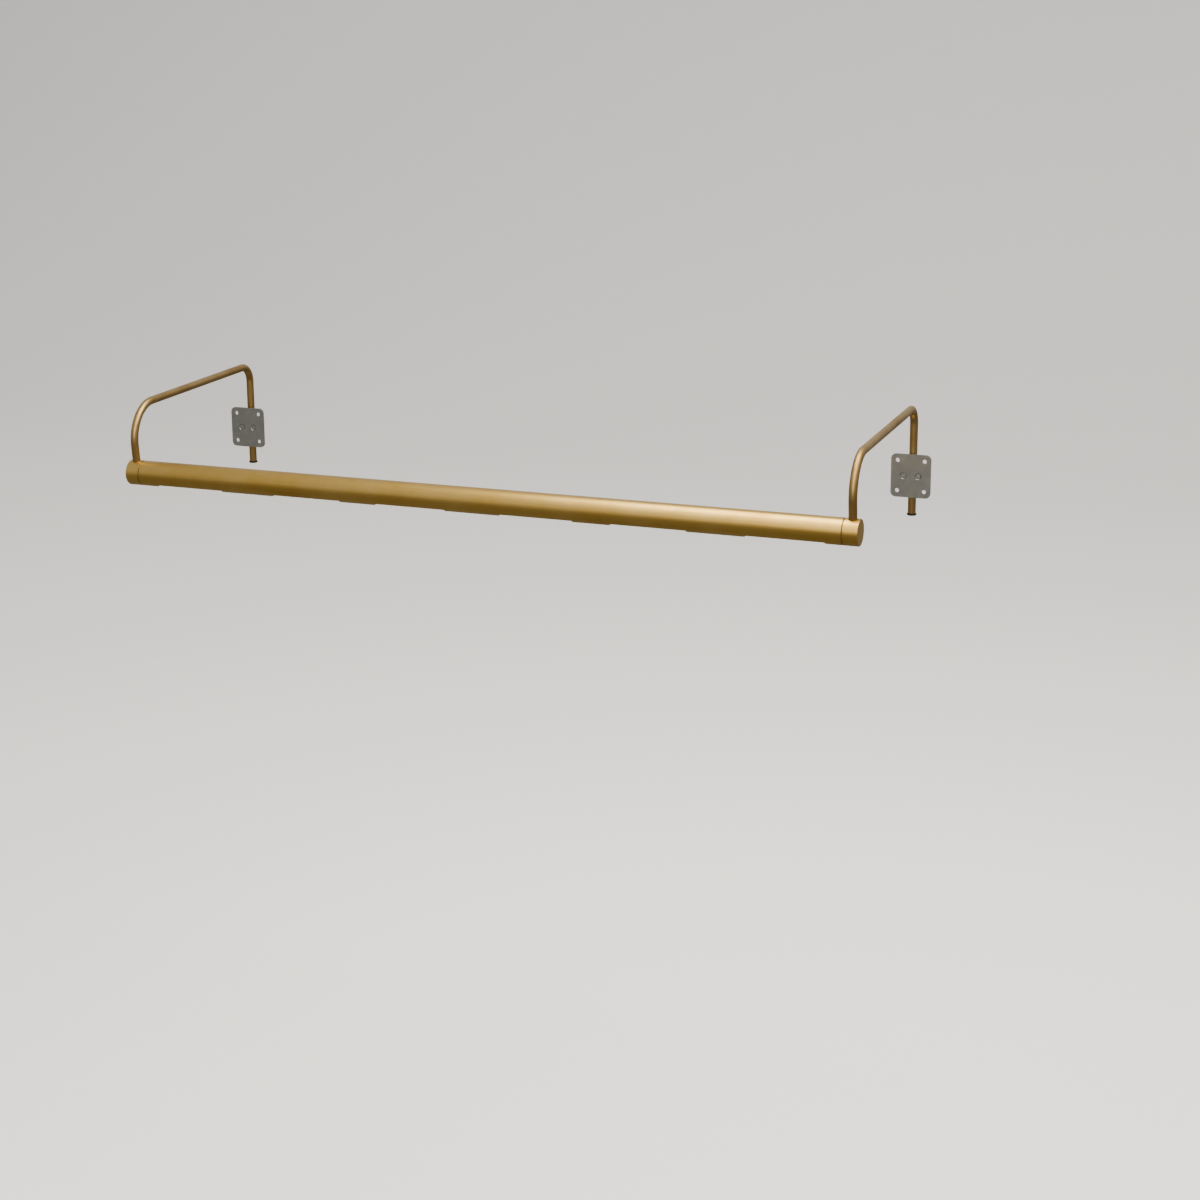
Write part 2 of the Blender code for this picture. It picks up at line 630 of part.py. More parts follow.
def make_lamp_set(build, parent, number, centre, side):
    """One lampholder with its lamp: screw base, glass and filament."""
    axis = along((side, 0, 0), (centre, SHADE_Y, 0))
    back, mouth = WIRE_GAP / 2, PAIR_LAND / 2 - HOLDER_FROM_WINDOW
    floor = back + HOLDER_BACK_WALL
    neck = back + HOLDER_NECK
    points = [(HOLDER_BORE, mouth), (HOLDER_RADIUS, mouth), (HOLDER_RADIUS, neck), (NECK_RADIUS, neck)]
    points += [(NECK_RADIUS, back), (0.0, back)]
    points = [(0.0, floor), (HOLDER_BORE, floor), *points]
    turned(build, f"lampholder_{number}", points, "phenolic", parent, axis, MEDIUM)
    base_low, base_high = floor + 2 * FIT, mouth + FIT
    points = [(0.0, base_high), (BASE_RADIUS, base_high), (BASE_RADIUS, base_low + BASE_RADIUS / 3)]
    points += [(BASE_RADIUS / 2, base_low), (0.0, base_low)]
    turned(build, f"lamp_base_{number}", points, "satin_brass", parent, axis, SMALL)
    low = base_high + FIT
    tip = PAIR_LAND / 2 + WINDOW_LENGTH - LAMP_SHORT_OF_WINDOW
    dome = LAMP_RADIUS * 0.6
    points = [(LAMP_RADIUS * math.sin(a), tip - dome + dome * math.cos(a))
              for a in (math.pi / 6 * k for k in range(4))]
    points += [(LAMP_RADIUS, low + LAMP_NECK), (BASE_RADIUS - FIT, low)]
    glass = turned(build, f"lamp_glass_{number}", points, "lamp_glass", parent, axis, MEDIUM)
    solidify(glass, LAMP_GLASS)
    spread = BASE_RADIUS / 2
    top = tip - 3 * LAMP_GLASS - dome
    start = low + LAMP_GLASS
    knee = start + 2 * LAMP_NECK
    line = [(spread, start), (spread / 2, knee), (spread * 0.4, top), (0.0, top + dome / 2)]
    line += [(-spread * 0.4, top), (-spread / 2, knee), (-spread, start)]
    points = [(centre + side * h, SHADE_Y, w) for w, h in line]
    curve = wire_curve(f"lamp_filament_{number}", points, FILAMENT_RADIUS, 1)
    build.part(f"lamp_filament_{number}", curve, "tungsten", parent)


def make_wire(build, parent, name, lateral, material):
    """One conductor: out of the spigot, up behind the tray, and a loop down at each pair of lampholders."""
    out = Vector((0.0, math.cos(CROWN), math.sin(CROWN)))
    across = Vector((0.0, -math.sin(CROWN), math.cos(CROWN)))

    def at(x, height, share=1.0):
        return Vector((x, SHADE_Y, 0.0)) + out * height + across * lateral * share

    climb_x = MOUTH_X - 3 * WIRE_RADIUS
    start = MOUTH_X + SPIGOT_LENGTH / 2 - FIT
    knots = [at(start, 0.0, 0.55), at(MOUTH_X + WIRE_RADIUS, 0.0, 0.55)]
    knots += [at(climb_x, WIRE_CHANNEL * 0.3, 0.8), at(climb_x, WIRE_CHANNEL * 0.8)]
    knots += [at(climb_x - WIRE_RADIUS, WIRE_CHANNEL), at(TRAY_END_X - WIRE_GAP, WIRE_CHANNEL)]
    dip = WIRE_GAP / 2 - WIRE_RADIUS - 3 * RUNNING
    for index, centre in enumerate(reversed(MODULE_CENTRES)):
        knots += [at(centre + 14 * MM, WIRE_CHANNEL), at(centre + dip + 2 * MM, WIRE_CHANNEL)]
        knots += [at(centre + dip, WIRE_CHANNEL * 0.8), at(centre + dip * 0.8, WIRE_CHANNEL * 0.5)]
        knots += [at(centre, WIRE_CHANNEL * 0.36)]
        if index < MODULES - 1:
            knots += [at(centre - dip * 0.8, WIRE_CHANNEL * 0.5), at(centre - dip, WIRE_CHANNEL * 0.8)]
            knots += [at(centre - dip - 2 * MM, WIRE_CHANNEL), at(centre - 14 * MM, WIRE_CHANNEL)]
    curve = wire_curve(name, smooth_path(knots, 2), WIRE_RADIUS, 1)
    build.part(name, curve, material, parent)


def make_stop_screws(build, parent):
    """The screws that keep the shade on its spigots and stop its turn at the ends of their slots."""
    for label, side in (("left", -1), ("right", 1)):
        place = radial(STOP_ANGLE, side * (MOUTH_X + STOP_FROM_MOUTH))
        head = place @ Matrix.Translation((0, 0, SHADE_RADIUS + FIT / 2))
        length = SHADE_RADIUS + FIT / 2 - (SPIGOT_RADIUS - STOP_SLOT_DEPTH + FIT)
        slotted_screw(build, f"{label}_stop_screw", SMALL_SHANK, SMALL_HEAD, SMALL_HEAD_HEIGHT, length,
                      "satin_brass", parent, head)


def make_bracket(build, parent, label, side):
    """The plate behind the frame, the clamp block on it and the two screws between them."""
    x = side * ARM_X
    w, h, r = PLATE_WIDTH / 2, PLATE_HEIGHT / 2, PLATE_CORNER
    outline = []
    for cx, cz, start in ((w - r, h - r, 0), (r - w, h - r, 90), (r - w, r - h, 180), (w - r, r - h, 270)):
        outline += arc(r, math.radians(start), math.radians(start + 90), 4, (cx, cz))
    turn = Matrix(((1, 0, 0, 0), (0, 0, -1, 0), (0, 1, 0, 0), (0, 0, 0, 1)))
    place = Matrix.Translation((x, PLATE_THICKNESS / 2, 0)) @ turn
    name = f"{label}_bracket_plate"
    plate = build.part(name, extruded_mesh(name, outline, PLATE_THICKNESS / 2), "zinc_steel", parent, place)
    reach = 2 * PLATE_THICKNESS
    corners = [(sx * (w - PLATE_HOLE_INSET), sz * (h - PLATE_HOLE_INSET)) for sx in (-1, 1) for sz in (-1, 1)]
    pins = [(PLATE_HOLE_RADIUS, -reach, reach, along((0, 1, 0), (x + px, 0, pz))) for px, pz in corners]
    boolean(plate, build.cutter(name + "_holes", pins_mesh(name + "_holes", pins)))
    screw_x = ARM_RADIUS + FIT + 1.2 * MM + BLOCK_SHANK + RUNNING
    sink = BLOCK_SCREW_HEAD + FIT
    for k, sx in enumerate((-1, 1)):
        at = along((0, -1, 0), (x + sx * screw_x, 0, 0))
        cone = [(0.0, 1 * MM), (sink + 1 * MM, 1 * MM), (sink - PLATE_THICKNESS, -PLATE_THICKNESS - 1e-5)]
        cone = cone[:2] + [(max(BLOCK_SHANK + RUNNING, sink - PLATE_THICKNESS), -PLATE_THICKNESS)]
        cone += [(BLOCK_SHANK + RUNNING, -reach), (0.0, -reach)]
        boolean(plate, turned_cutter(build, f"{name}_sink_{k}", cone, at))
        top = 0.15 * MM
        points = [(0.0, -top), (BLOCK_SCREW_HEAD - top, -top)]
        points += [(BLOCK_SHANK, BLOCK_SHANK - BLOCK_SCREW_HEAD - top)]
        points += [(BLOCK_SHANK, -BLOCK_SCREW_LENGTH), (0.0, -BLOCK_SCREW_LENGTH)]
        where = "inner" if sx * side < 0 else "outer"
        made = turned(build, f"{label}_block_screw_{where}", points, "zinc_steel", parent, at, SMALL)
        cut = (-2 * sink, -SLOT_WIDTH / 2, -top - SLOT_DEPTH), (2 * sink, SLOT_WIDTH / 2, 1 * MM)
        slot = build.cutter(f"{made.name}_slot", box_mesh(f"{made.name}_slot", [(*cut, None)]), at)
        boolean(made, slot)
    half = screw_x + BLOCK_SHANK + RUNNING + BLOCK_SIDE_WALL
    front, back = PLATE_THICKNESS + FIT, LEG_Y + ARM_RADIUS + BLOCK_WALL
    box = [((x - half, front, -BLOCK_HEIGHT / 2), (x + half, back, BLOCK_HEIGHT / 2), None)]
    block = build.part(f"{label}_clamp_block", box_mesh(f"{label}_clamp_block", box), "satin_brass", parent)
    bevel(block, BLOCK_BEVEL)
    leg = along((0, 0, 1), (x, LEG_Y, 0))
    thumb = along((0, 1, 0), (x, LEG_Y, 0))
    tall = BLOCK_HEIGHT
    drills = [[(ARM_RADIUS + FIT, -tall, tall, leg)], [(THUMB_SHANK + FIT, 0.0, tall, thumb)]]
    tapped = -BLOCK_SCREW_LENGTH - 1 * MM
    sites = [along((0, -1, 0), (x + sx * screw_x, 0, 0)) for sx in (-1, 1)]
    drills.append([(BLOCK_SHANK + FIT, tapped, 0.0, site) for site in sites])
    for k, pins in enumerate(drills):
        drill = f"{label}_block_drill_{k}"
        boolean(block, build.cutter(drill, pins_mesh(drill, pins, MEDIUM)))


def make_thumb_screw(build, label, side):
    """The knurled screw that presses on the leg. It turns about its own axis."""
    back = LEG_Y + ARM_RADIUS + BLOCK_WALL
    axis = build.empty(f"{label}_thumb_axis", (side * ARM_X, back, 0.0))
    place = along((0, 1, 0), (side * ARM_X, back, 0.0))
    low = -BLOCK_WALL + FIT
    collar, head = FIT + THUMB_COLLAR_LENGTH, FIT + THUMB_COLLAR_LENGTH + THUMB_HEAD_LENGTH
    edge = 0.6 * MM
    points = [(0.0, head), (THUMB_HEAD - edge, head), (THUMB_HEAD, head - edge), (THUMB_HEAD, collar + edge)]
    points += [(THUMB_HEAD - edge, collar), (THUMB_COLLAR, collar), (THUMB_COLLAR, FIT), (THUMB_SHANK, FIT)]
    points += [(THUMB_SHANK, low), (0.0, low)]
    turned(build, f"{label}_thumb_screw", points, "satin_brass", axis, place, MEDIUM)


def main():
    """Builds the light: fixed brackets, thumb screws, the sliding arm set and the turning shade."""
    clear_scene()
    build = Builder(new_collection("picture_light"), new_collection("cutters"))
    brackets = build.empty("brackets", (0.0, 0.0, 0.0))
    arm_set = build.empty("arm_set", (0.0, LEG_Y, 0.0))
    shade = build.empty("shade", (0.0, SHADE_Y, 0.0))
    for label, side in (("left", -1), ("right", 1)):
        make_bracket(build, brackets, label, side)
        make_thumb_screw(build, label, side)
        make_arm(build, arm_set, label, side)
        make_end_cap(build, arm_set, label, side)
        make_cap_fittings(build, arm_set, label, side)
    make_arm_lead(build, arm_set)
    make_shade_tube(build, shade)
    make_tray(build, shade)
    make_stop_screws(build, shade)
    for index, centre in enumerate(MODULE_CENTRES):
        make_clip(build, shade, index + 1, centre)
        for place, side in enumerate((-1, 1)):
            make_lamp_set(build, shade, 2 * index + place + 1, centre, side)
    make_wire(build, shade, "line_wire", WIRE_SPREAD, "wire_black")
    make_wire(build, shade, "neutral_wire", -WIRE_SPREAD, "wire_white")


main()
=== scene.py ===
"""Looks of a twin-arm tubular picture light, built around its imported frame.

The frame gives every place and outer size. This script makes the fine surfaces over it: the windowed
tube, the turned caps, the bent rods, the brackets, the lamps and what holds them, and their finishes.
Units are metres. +X runs along the shade, +Y points to the wall and +Z up.
"""

import logging
import math
from collections.abc import Iterable, Sequence
from dataclasses import dataclass, field
from enum import Enum
from typing import Any, Optional

import bmesh
import bpy
from mathutils import Matrix, Vector


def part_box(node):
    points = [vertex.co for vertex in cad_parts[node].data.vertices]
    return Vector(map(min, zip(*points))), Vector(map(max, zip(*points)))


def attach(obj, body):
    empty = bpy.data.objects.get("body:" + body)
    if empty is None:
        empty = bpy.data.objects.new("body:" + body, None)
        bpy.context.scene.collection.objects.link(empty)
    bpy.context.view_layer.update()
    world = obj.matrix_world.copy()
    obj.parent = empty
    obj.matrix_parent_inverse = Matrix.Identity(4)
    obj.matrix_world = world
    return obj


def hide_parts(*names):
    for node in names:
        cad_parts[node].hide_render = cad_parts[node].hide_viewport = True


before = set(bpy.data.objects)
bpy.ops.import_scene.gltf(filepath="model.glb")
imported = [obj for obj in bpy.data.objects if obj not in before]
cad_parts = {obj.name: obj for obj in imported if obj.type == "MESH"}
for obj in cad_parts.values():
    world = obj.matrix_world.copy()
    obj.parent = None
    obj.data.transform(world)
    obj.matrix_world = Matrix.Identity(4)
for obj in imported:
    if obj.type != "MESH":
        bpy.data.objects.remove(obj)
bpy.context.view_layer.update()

MM = 0.001
# Segments round the tube, a cap, a washer, a middling piece and a small one.
TUBE_STEPS = 120
CAP_STEPS = 128
TURNED_STEPS = 96
FINE_STEPS = 64
SMALL_STEPS = 40
# Segments in each bend of a rod.
BEND_STEPS = 24
# An edge that turns by more than this stays sharp.
SMOOTH_LIMIT = math.radians(32)
# How far large faces outweigh small ones where they share a normal: 50 is evenly, 100 the most.
FLAT_WEIGHT = 80
# A rounding takes up at most this share of an edge.
EDGE_SHARE = 0.45
# Points closer than this are one point.
WELD = 1e-6
# Nearly all values of a noise lie between these.
NOISE_RANGE = (0.3, 0.7)
# The Mix node's colour sockets, which share their names with its other sockets.
MIX_A, MIX_B, MIX_OUT = 6, 7, 2
# How far an arm's front leg leans forward, and how far above level the shade's screws face.
ARM_LEAN = math.radians(5.9)
SCREW_TILT = math.radians(20.0)
SHADE_LOW, SHADE_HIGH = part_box("shade_tube")
AXIS = (SHADE_LOW + SHADE_HIGH) / 2

Point2 = tuple[float, float]
Point3 = tuple[float, float, float]
log = logging.getLogger("picture_light")


# Nodes and colours


def linear(hex_colour: str) -> tuple[float, float, float, float]:
    """Turns an sRGB hex colour into linear RGBA.

    Args:
        hex_colour: Six hex digits.

    Returns:
        The linear colour with an alpha of 1.
    """
    parts = [int(hex_colour[k : k + 2], 16) / 255 for k in (0, 2, 4)]
    curved = [c / 12.92 if c <= 0.04045 else ((c + 0.055) / 1.055) ** 2.4 for c in parts]
    return (*curved, 1.0)


def add_node(tree: bpy.types.NodeTree, kind: str, inputs: Optional[dict] = None, **settings: Any) -> Any:
    """Adds one node with its settings, values and links.

    Args:
        tree: The tree that gets the node.
        kind: The node's type name.
        inputs: Socket names or numbers, each with a value or with the output socket that feeds it.
        **settings: Properties of the node.

    Returns:
        The new node.
    """
    node = tree.nodes.new(kind)
    for name, value in settings.items():
        setattr(node, name, value)
    for key, value in (inputs or {}).items():
        socket = node.inputs[key]
        if isinstance(value, bpy.types.NodeSocket):
            tree.links.new(value, socket)
        else:
            socket.default_value = value
    return node


# Finishes


class Grain(Enum):
    """The way the fine lines of a brushed or turned surface run."""

    ALONG_X = "along_x"
    ALONG_Z = "along_z"
    ALONG_ROD = "along_rod"
    TURNED = "turned"
    EVEN = "even"


@dataclass(frozen=True)
class Finish:
    """A surface finish, made into a material on first use.

    Attributes:
        name: The material's name.
    """

    name: str

    def material(self) -> bpy.types.Material:
        """The finish as a material.

        Returns:
            The material of that name, built once.
        """
        if self.name in bpy.data.materials:
            return bpy.data.materials[self.name]
        made = bpy.data.materials.new(self.name)
        made.use_nodes = True
        tree = made.node_tree
        self.shade(tree, tree.nodes["Principled BSDF"])
        return made

    def shade(self, tree: bpy.types.NodeTree, shader: bpy.types.Node) -> None:
        """Sets the shader up. Each finish has its own way."""
        raise NotImplementedError


@dataclass(frozen=True)
class SatinBrass(Finish):
    """Brass that is brushed with fine abrasive, darkened a little and lacquered.

    The eye sees a broad soft highlight that pales where it is brightest, warm yellow beside it and
    olive brown in the shade, with very fine lines and slow clouds where the darkening took unevenly.

    Attributes:
        grain: Which way the lines run.
        bright: Colour of the polished high spots.
        toned: Colour where the darkening stayed.
        roughness: Middle roughness.
        uneven: What is added to it where the darkening stayed, and on the high spots.
        contrast: The pattern's values that give the toned and the bright colour in full.
        line_mm: Spacing of the lines. Real ones are about 0.1 mm apart, too fine to show, so they
            are drawn several times as coarse.
        line_length_mm: How long a line runs.
        line_share: How much of the colour's change comes from the lines, the rest being clouds.
        cloud_mm: Size of the clouds.
        relief: Strength of the lines' bump.
        relief_mm: Depth of the lines.
        lacquer: Weight of the clear lacquer, which gives the pale streak in the highlight.
        lacquer_roughness: The lacquer's roughness.
    """

    grain: Grain = Grain.ALONG_X
    bright: str = "dfbf7a"
    toned: str = "c6a25a"
    roughness: float = 0.34
    uneven: Point2 = (0.05, -0.04)
    contrast: Point2 = (0.34, 0.66)
    line_mm: float = 0.7
    line_length_mm: float = 60.0
    line_share: float = 0.4
    cloud_mm: float = 45.0
    relief: float = 0.06
    relief_mm: float = 0.05
    lacquer: float = 0.25
    lacquer_roughness: float = 0.22

    def grain_place(self, tree: bpy.types.NodeTree, place: bpy.types.NodeSocket) -> bpy.types.NodeSocket:
        """Where a point is in the pattern of lines.

        Args:
            tree: The material's tree.
            place: The object coordinates.

        Returns:
            The coordinates, stretched along the lines.
        """
        across, with_lines = 1 / (self.line_mm * MM), 1 / (self.line_length_mm * MM)
        scales = {
            Grain.ALONG_X: (with_lines, across, across),
            Grain.ALONG_Z: (across, across, with_lines),
            Grain.ALONG_ROD: (with_lines, across, across),
            Grain.TURNED: (across, across, 0.0),
            Grain.EVEN: (across, across, across),
        }
        if self.grain is Grain.ALONG_ROD:
            place = add_node(tree, "ShaderNodeAttribute", attribute_name="grain").outputs["Vector"]
        if self.grain is Grain.TURNED:
            parts = add_node(tree, "ShaderNodeSeparateXYZ", {"Vector": place}).outputs
            centred = add_node(
                tree, "ShaderNodeVectorMath", {0: place, 1: tuple(AXIS)}, operation="SUBTRACT"
            ).outputs[0]
            flat = add_node(
                tree, "ShaderNodeVectorMath", {0: centred, 1: (0.0, 1.0, 1.0)}, operation="MULTIPLY"
            ).outputs[0]
            reach = add_node(tree, "ShaderNodeVectorMath", {0: flat}, operation="LENGTH").outputs["Value"]
            place = add_node(tree, "ShaderNodeCombineXYZ", {"X": parts["X"], "Y": reach}).outputs["Vector"]
        return add_node(
            tree, "ShaderNodeMapping", {"Vector": place, "Scale": scales[self.grain]}
        ).outputs["Vector"]

    def shade(self, tree: bpy.types.NodeTree, shader: bpy.types.Node) -> None:
        """Sets the brass up.

        Args:
            tree: The material's tree.
            shader: Its Principled BSDF.
        """
        place = add_node(tree, "ShaderNodeTexCoord").outputs["Object"]
        lines = add_node(
            tree,
            "ShaderNodeTexNoise",
            {"Vector": self.grain_place(tree, place), "Scale": 1.0, "Detail": 3.0, "Roughness": 0.6},
        ).outputs["Fac"]
        clouds = add_node(
            tree,
            "ShaderNodeTexNoise",
            {"Vector": place, "Scale": 1 / (self.cloud_mm * MM), "Detail": 4.0, "Roughness": 0.55},
        ).outputs["Fac"]
        streaks = add_node(
            tree, "ShaderNodeMath", {0: lines, 1: self.line_share}, operation="MULTIPLY"
        ).outputs[0]
        tone = add_node(
            tree, "ShaderNodeMath", {0: clouds, 1: 1 - self.line_share, 2: streaks}, operation="MULTIPLY_ADD"
        ).outputs[0]
        low, high = self.contrast
        share = add_node(
            tree, "ShaderNodeMapRange", {"Value": tone, "From Min": low, "From Max": high}
        ).outputs["Result"]
        colour = add_node(
            tree,
            "ShaderNodeMix",
            {"Factor": share, MIX_A: linear(self.toned), MIX_B: linear(self.bright)},
            data_type="RGBA",
        ).outputs[MIX_OUT]
        dull, keen = self.uneven
        rough = add_node(
            tree,
            "ShaderNodeMapRange",
            {"Value": share, "To Min": self.roughness + dull, "To Max": self.roughness + keen},
        ).outputs["Result"]
        bump = add_node(
            tree,
            "ShaderNodeBump",
            {"Height": lines, "Strength": self.relief, "Distance": self.relief_mm * MM},
        ).outputs["Normal"]
        tree.links.new(colour, shader.inputs["Base Color"])
        tree.links.new(rough, shader.inputs["Roughness"])
        tree.links.new(bump, shader.inputs["Normal"])
        shader.inputs["Metallic"].default_value = 1.0
        shader.inputs["Coat Weight"].default_value = self.lacquer
        shader.inputs["Coat Roughness"].default_value = self.lacquer_roughness


@dataclass(frozen=True)
class PlatedSteel(Finish):
    """Steel sheet and screws with bright zinc plating, passivated.

    The eye sees a cool pale grey with a slight spangle and a soft gloss.

    Attributes:
        tint: Base colour.
        film: Colour where the passivation is thickest.
        film_mm: Size of the clouds in the passivation.
        spangle_mm: Size of the zinc's crystals.
        gloss: Roughness in the middle of a crystal and at its border.
    """

    tint: str = "a9adb2"
    film: str = "c9c7bd"
    film_mm: float = 9.0
    spangle_mm: float = 2.5
    gloss: Point2 = (0.28, 0.42)

    def shade(self, tree: bpy.types.NodeTree, shader: bpy.types.Node) -> None:
        """Sets the plating up.

        Args:
            tree: The material's tree.
            shader: Its Principled BSDF.
        """
        place = add_node(tree, "ShaderNodeTexCoord").outputs["Object"]
        spangle = add_node(
            tree, "ShaderNodeTexVoronoi", {"Vector": place, "Scale": 1 / (self.spangle_mm * MM)}
        ).outputs["Distance"]
        film = add_node(
            tree, "ShaderNodeTexNoise", {"Vector": place, "Scale": 1 / (self.film_mm * MM), "Detail": 3.0}
        ).outputs["Fac"]
        colour = add_node(
            tree,
            "ShaderNodeMix",
            {"Factor": film, MIX_A: linear(self.tint), MIX_B: linear(self.film)},
            data_type="RGBA",
        ).outputs[MIX_OUT]
        middle, border = self.gloss
        rough = add_node(
            tree, "ShaderNodeMapRange", {"Value": spangle, "To Min": middle, "To Max": border}
        ).outputs["Result"]
        tree.links.new(colour, shader.inputs["Base Color"])
        tree.links.new(rough, shader.inputs["Roughness"])
        shader.inputs["Metallic"].default_value = 1.0


@dataclass(frozen=True)
class SmoothSolid(Finish):
    """A plastic, rubber or enamel surface with a faint moulded or sprayed grain.

    Attributes:
        colour: Base colour.
        shadow: Colour in the grain's low spots.
        roughness: Middle roughness.
        uneven: How far the roughness strays from that, up in low spots and down in high ones.
        grain_mm: Size of the grain.
        relief: Strength of the grain's bump.
        relief_mm: Depth of the grain.
        ior: Index of refraction.
        coat: Weight of a clear gloss on top.
    """

    colour: str = "f1efe6"
    shadow: str = "dfdccf"
    roughness: float = 0.4
    uneven: float = 0.06
    grain_mm: float = 1.0
    relief: float = 0.1
    relief_mm: float = 0.05
    ior: float = 1.5
    coat: float = 0.0

    def shade(self, tree: bpy.types.NodeTree, shader: bpy.types.Node) -> None:
        """Sets the surface up.

        Args:
            tree: The material's tree.
            shader: Its Principled BSDF.
        """
        place = add_node(tree, "ShaderNodeTexCoord").outputs["Object"]
        grain = add_node(
            tree, "ShaderNodeTexNoise", {"Vector": place, "Scale": 1 / (self.grain_mm * MM), "Detail": 3.0}
        ).outputs["Fac"]
        colour = add_node(
            tree,
            "ShaderNodeMix",
            {"Factor": grain, MIX_A: linear(self.shadow), MIX_B: linear(self.colour)},
            data_type="RGBA",
        ).outputs[MIX_OUT]
        rough = add_node(
            tree,
            "ShaderNodeMapRange",
            {
                "Value": grain,
                "From Min": NOISE_RANGE[0],
                "From Max": NOISE_RANGE[1],
                "To Min": self.roughness + self.uneven,
                "To Max": self.roughness - self.uneven,
            },
        ).outputs["Result"]
        bump = add_node(
            tree,
            "ShaderNodeBump",
            {"Height": grain, "Strength": self.relief, "Distance": self.relief_mm * MM},
        ).outputs["Normal"]
        tree.links.new(colour, shader.inputs["Base Color"])
        tree.links.new(rough, shader.inputs["Roughness"])
        tree.links.new(bump, shader.inputs["Normal"])
        shader.inputs["IOR"].default_value = self.ior
        shader.inputs["Coat Weight"].default_value = self.coat


@dataclass(frozen=True)
class MattPaper(Finish):
    """Pale matt background paper. It shows from its front only, so that views from below look past it.

    Attributes:
        colour: Base colour.
        roughness: Its roughness.
    """

    colour: str = "f6f5f3"
    roughness: float = 0.9

    def shade(self, tree: bpy.types.NodeTree, shader: bpy.types.Node) -> None:
        """Sets the paper up.

        Args:
            tree: The material's tree.
            shader: Its Principled BSDF.
        """
        shader.inputs["Base Color"].default_value = linear(self.colour)
        shader.inputs["Roughness"].default_value = self.roughness
        behind = add_node(tree, "ShaderNodeNewGeometry").outputs["Backfacing"]
        clear = add_node(tree, "ShaderNodeBsdfTransparent").outputs["BSDF"]
        mixed = add_node(
            tree, "ShaderNodeMixShader", {0: behind, 1: shader.outputs["BSDF"], 2: clear}
        ).outputs["Shader"]
        tree.links.new(mixed, tree.nodes["Material Output"].inputs["Surface"])


@dataclass(frozen=True)
class LampGlass(Finish):
    """Clear soda-lime glass, drawn as a thin tube and closed in the flame.

    The eye sees thin bright outlines, the wire inside and slightly uneven reflections.

    Attributes:
        tint: Colour of the light that comes through.
        ior: Index of refraction.
        gloss: Its least and greatest roughness.
        wave_mm: Length of the drawn tube's waves.
    """

    tint: str = "f7fbfa"
    ior: float = 1.52
    gloss: Point2 = (0.02, 0.06)
    wave_mm: float = 12.0

    def shade(self, tree: bpy.types.NodeTree, shader: bpy.types.Node) -> None:
        """Sets the glass up, with the slight waviness of drawn tube in its roughness.

        Args:
            tree: The material's tree.
            shader: Its Principled BSDF.
        """
        place = add_node(tree, "ShaderNodeTexCoord").outputs["Object"]
        wave = add_node(
            tree, "ShaderNodeTexNoise", {"Vector": place, "Scale": 1 / (self.wave_mm * MM), "Detail": 1.0}
        ).outputs["Fac"]
        rough = add_node(
            tree,
            "ShaderNodeMapRange",
            {
                "Value": wave,
                "From Min": NOISE_RANGE[0],
                "From Max": NOISE_RANGE[1],
                "To Min": self.gloss[0],
                "To Max": self.gloss[1],
            },
        ).outputs["Result"]
        tree.links.new(rough, shader.inputs["Roughness"])
        shader.inputs["Base Color"].default_value = linear(self.tint)
        shader.inputs["IOR"].default_value = self.ior
        shader.inputs["Transmission Weight"].default_value = 1.0


@dataclass(frozen=True)
class DrawnTungsten(Finish):
    """Tungsten and nickel wire, drawn and coiled: a dull dark grey metal with fine draw lines.

    Attributes:
        dark: Colour between the lines.
        light: Colour on the lines.
        roughness: Its roughness.
        line_mm: Spacing of the lines.
    """

    dark: str = "6a6a6c"
    light: str = "8f8e8c"
    roughness: float = 0.38
    line_mm: float = 0.5

    def shade(self, tree: bpy.types.NodeTree, shader: bpy.types.Node) -> None:
        """Sets the wire up.

        Args:
            tree: The material's tree.
            shader: Its Principled BSDF.
        """
        place = add_node(tree, "ShaderNodeTexCoord").outputs["Object"]
        lines = add_node(
            tree, "ShaderNodeTexNoise", {"Vector": place, "Scale": 1 / (self.line_mm * MM), "Detail": 2.0}
        ).outputs["Fac"]
        colour = add_node(
            tree,
            "ShaderNodeMix",
            {"Factor": lines, MIX_A: linear(self.dark), MIX_B: linear(self.light)},
            data_type="RGBA",
        ).outputs[MIX_OUT]
        tree.links.new(colour, shader.inputs["Base Color"])
        shader.inputs["Metallic"].default_value = 1.0
        shader.inputs["Roughness"].default_value = self.roughness


# Drawn tube, brushed lengthwise, so the fine lines follow its length.
BRASS_TUBE = SatinBrass("satin_brass_tube")
# Turned in the lathe and brushed there: fine rings round the side and the end face.
BRASS_CAP = SatinBrass("satin_brass_turned", grain=Grain.TURNED, line_mm=0.35, relief=0.1)
# Drawn rod, darkened more than the tube, with the draw lines along it.
BRASS_ROD = SatinBrass(
    "satin_brass_rod", grain=Grain.ALONG_ROD, bright="c4a977", toned="9e8052", roughness=0.4, line_mm=0.9
)
# Small turned pieces: an even fine grain.
BRASS_TURNED = SatinBrass("bright_turned_brass", grain=Grain.EVEN, roughness=0.28, line_mm=0.25, cloud_mm=9.0)
# Milled block, brushed on a belt, with upright lines.
BRASS_BLOCK = SatinBrass("milled_brass", grain=Grain.ALONG_Z, roughness=0.34, line_mm=0.4, relief=0.12)
# Cold-rolled sheet, plated after it was pressed: cool grey, softly spangled.
STEEL_PLATE = PlatedSteel("zinc_plated_steel")
# Cold-headed screws from a plating barrel: a little paler than the sheet.
STEEL_SCREW = PlatedSteel("zinc_plated_screw", tint="b4b6b6")
# White stove enamel on aluminium sheet: smooth, faintly rippled, with a clear gloss.
WHITE_ENAMEL = SmoothSolid("white_stove_enamel", roughness=0.35, grain_mm=4.0, relief=0.05, coat=0.4)
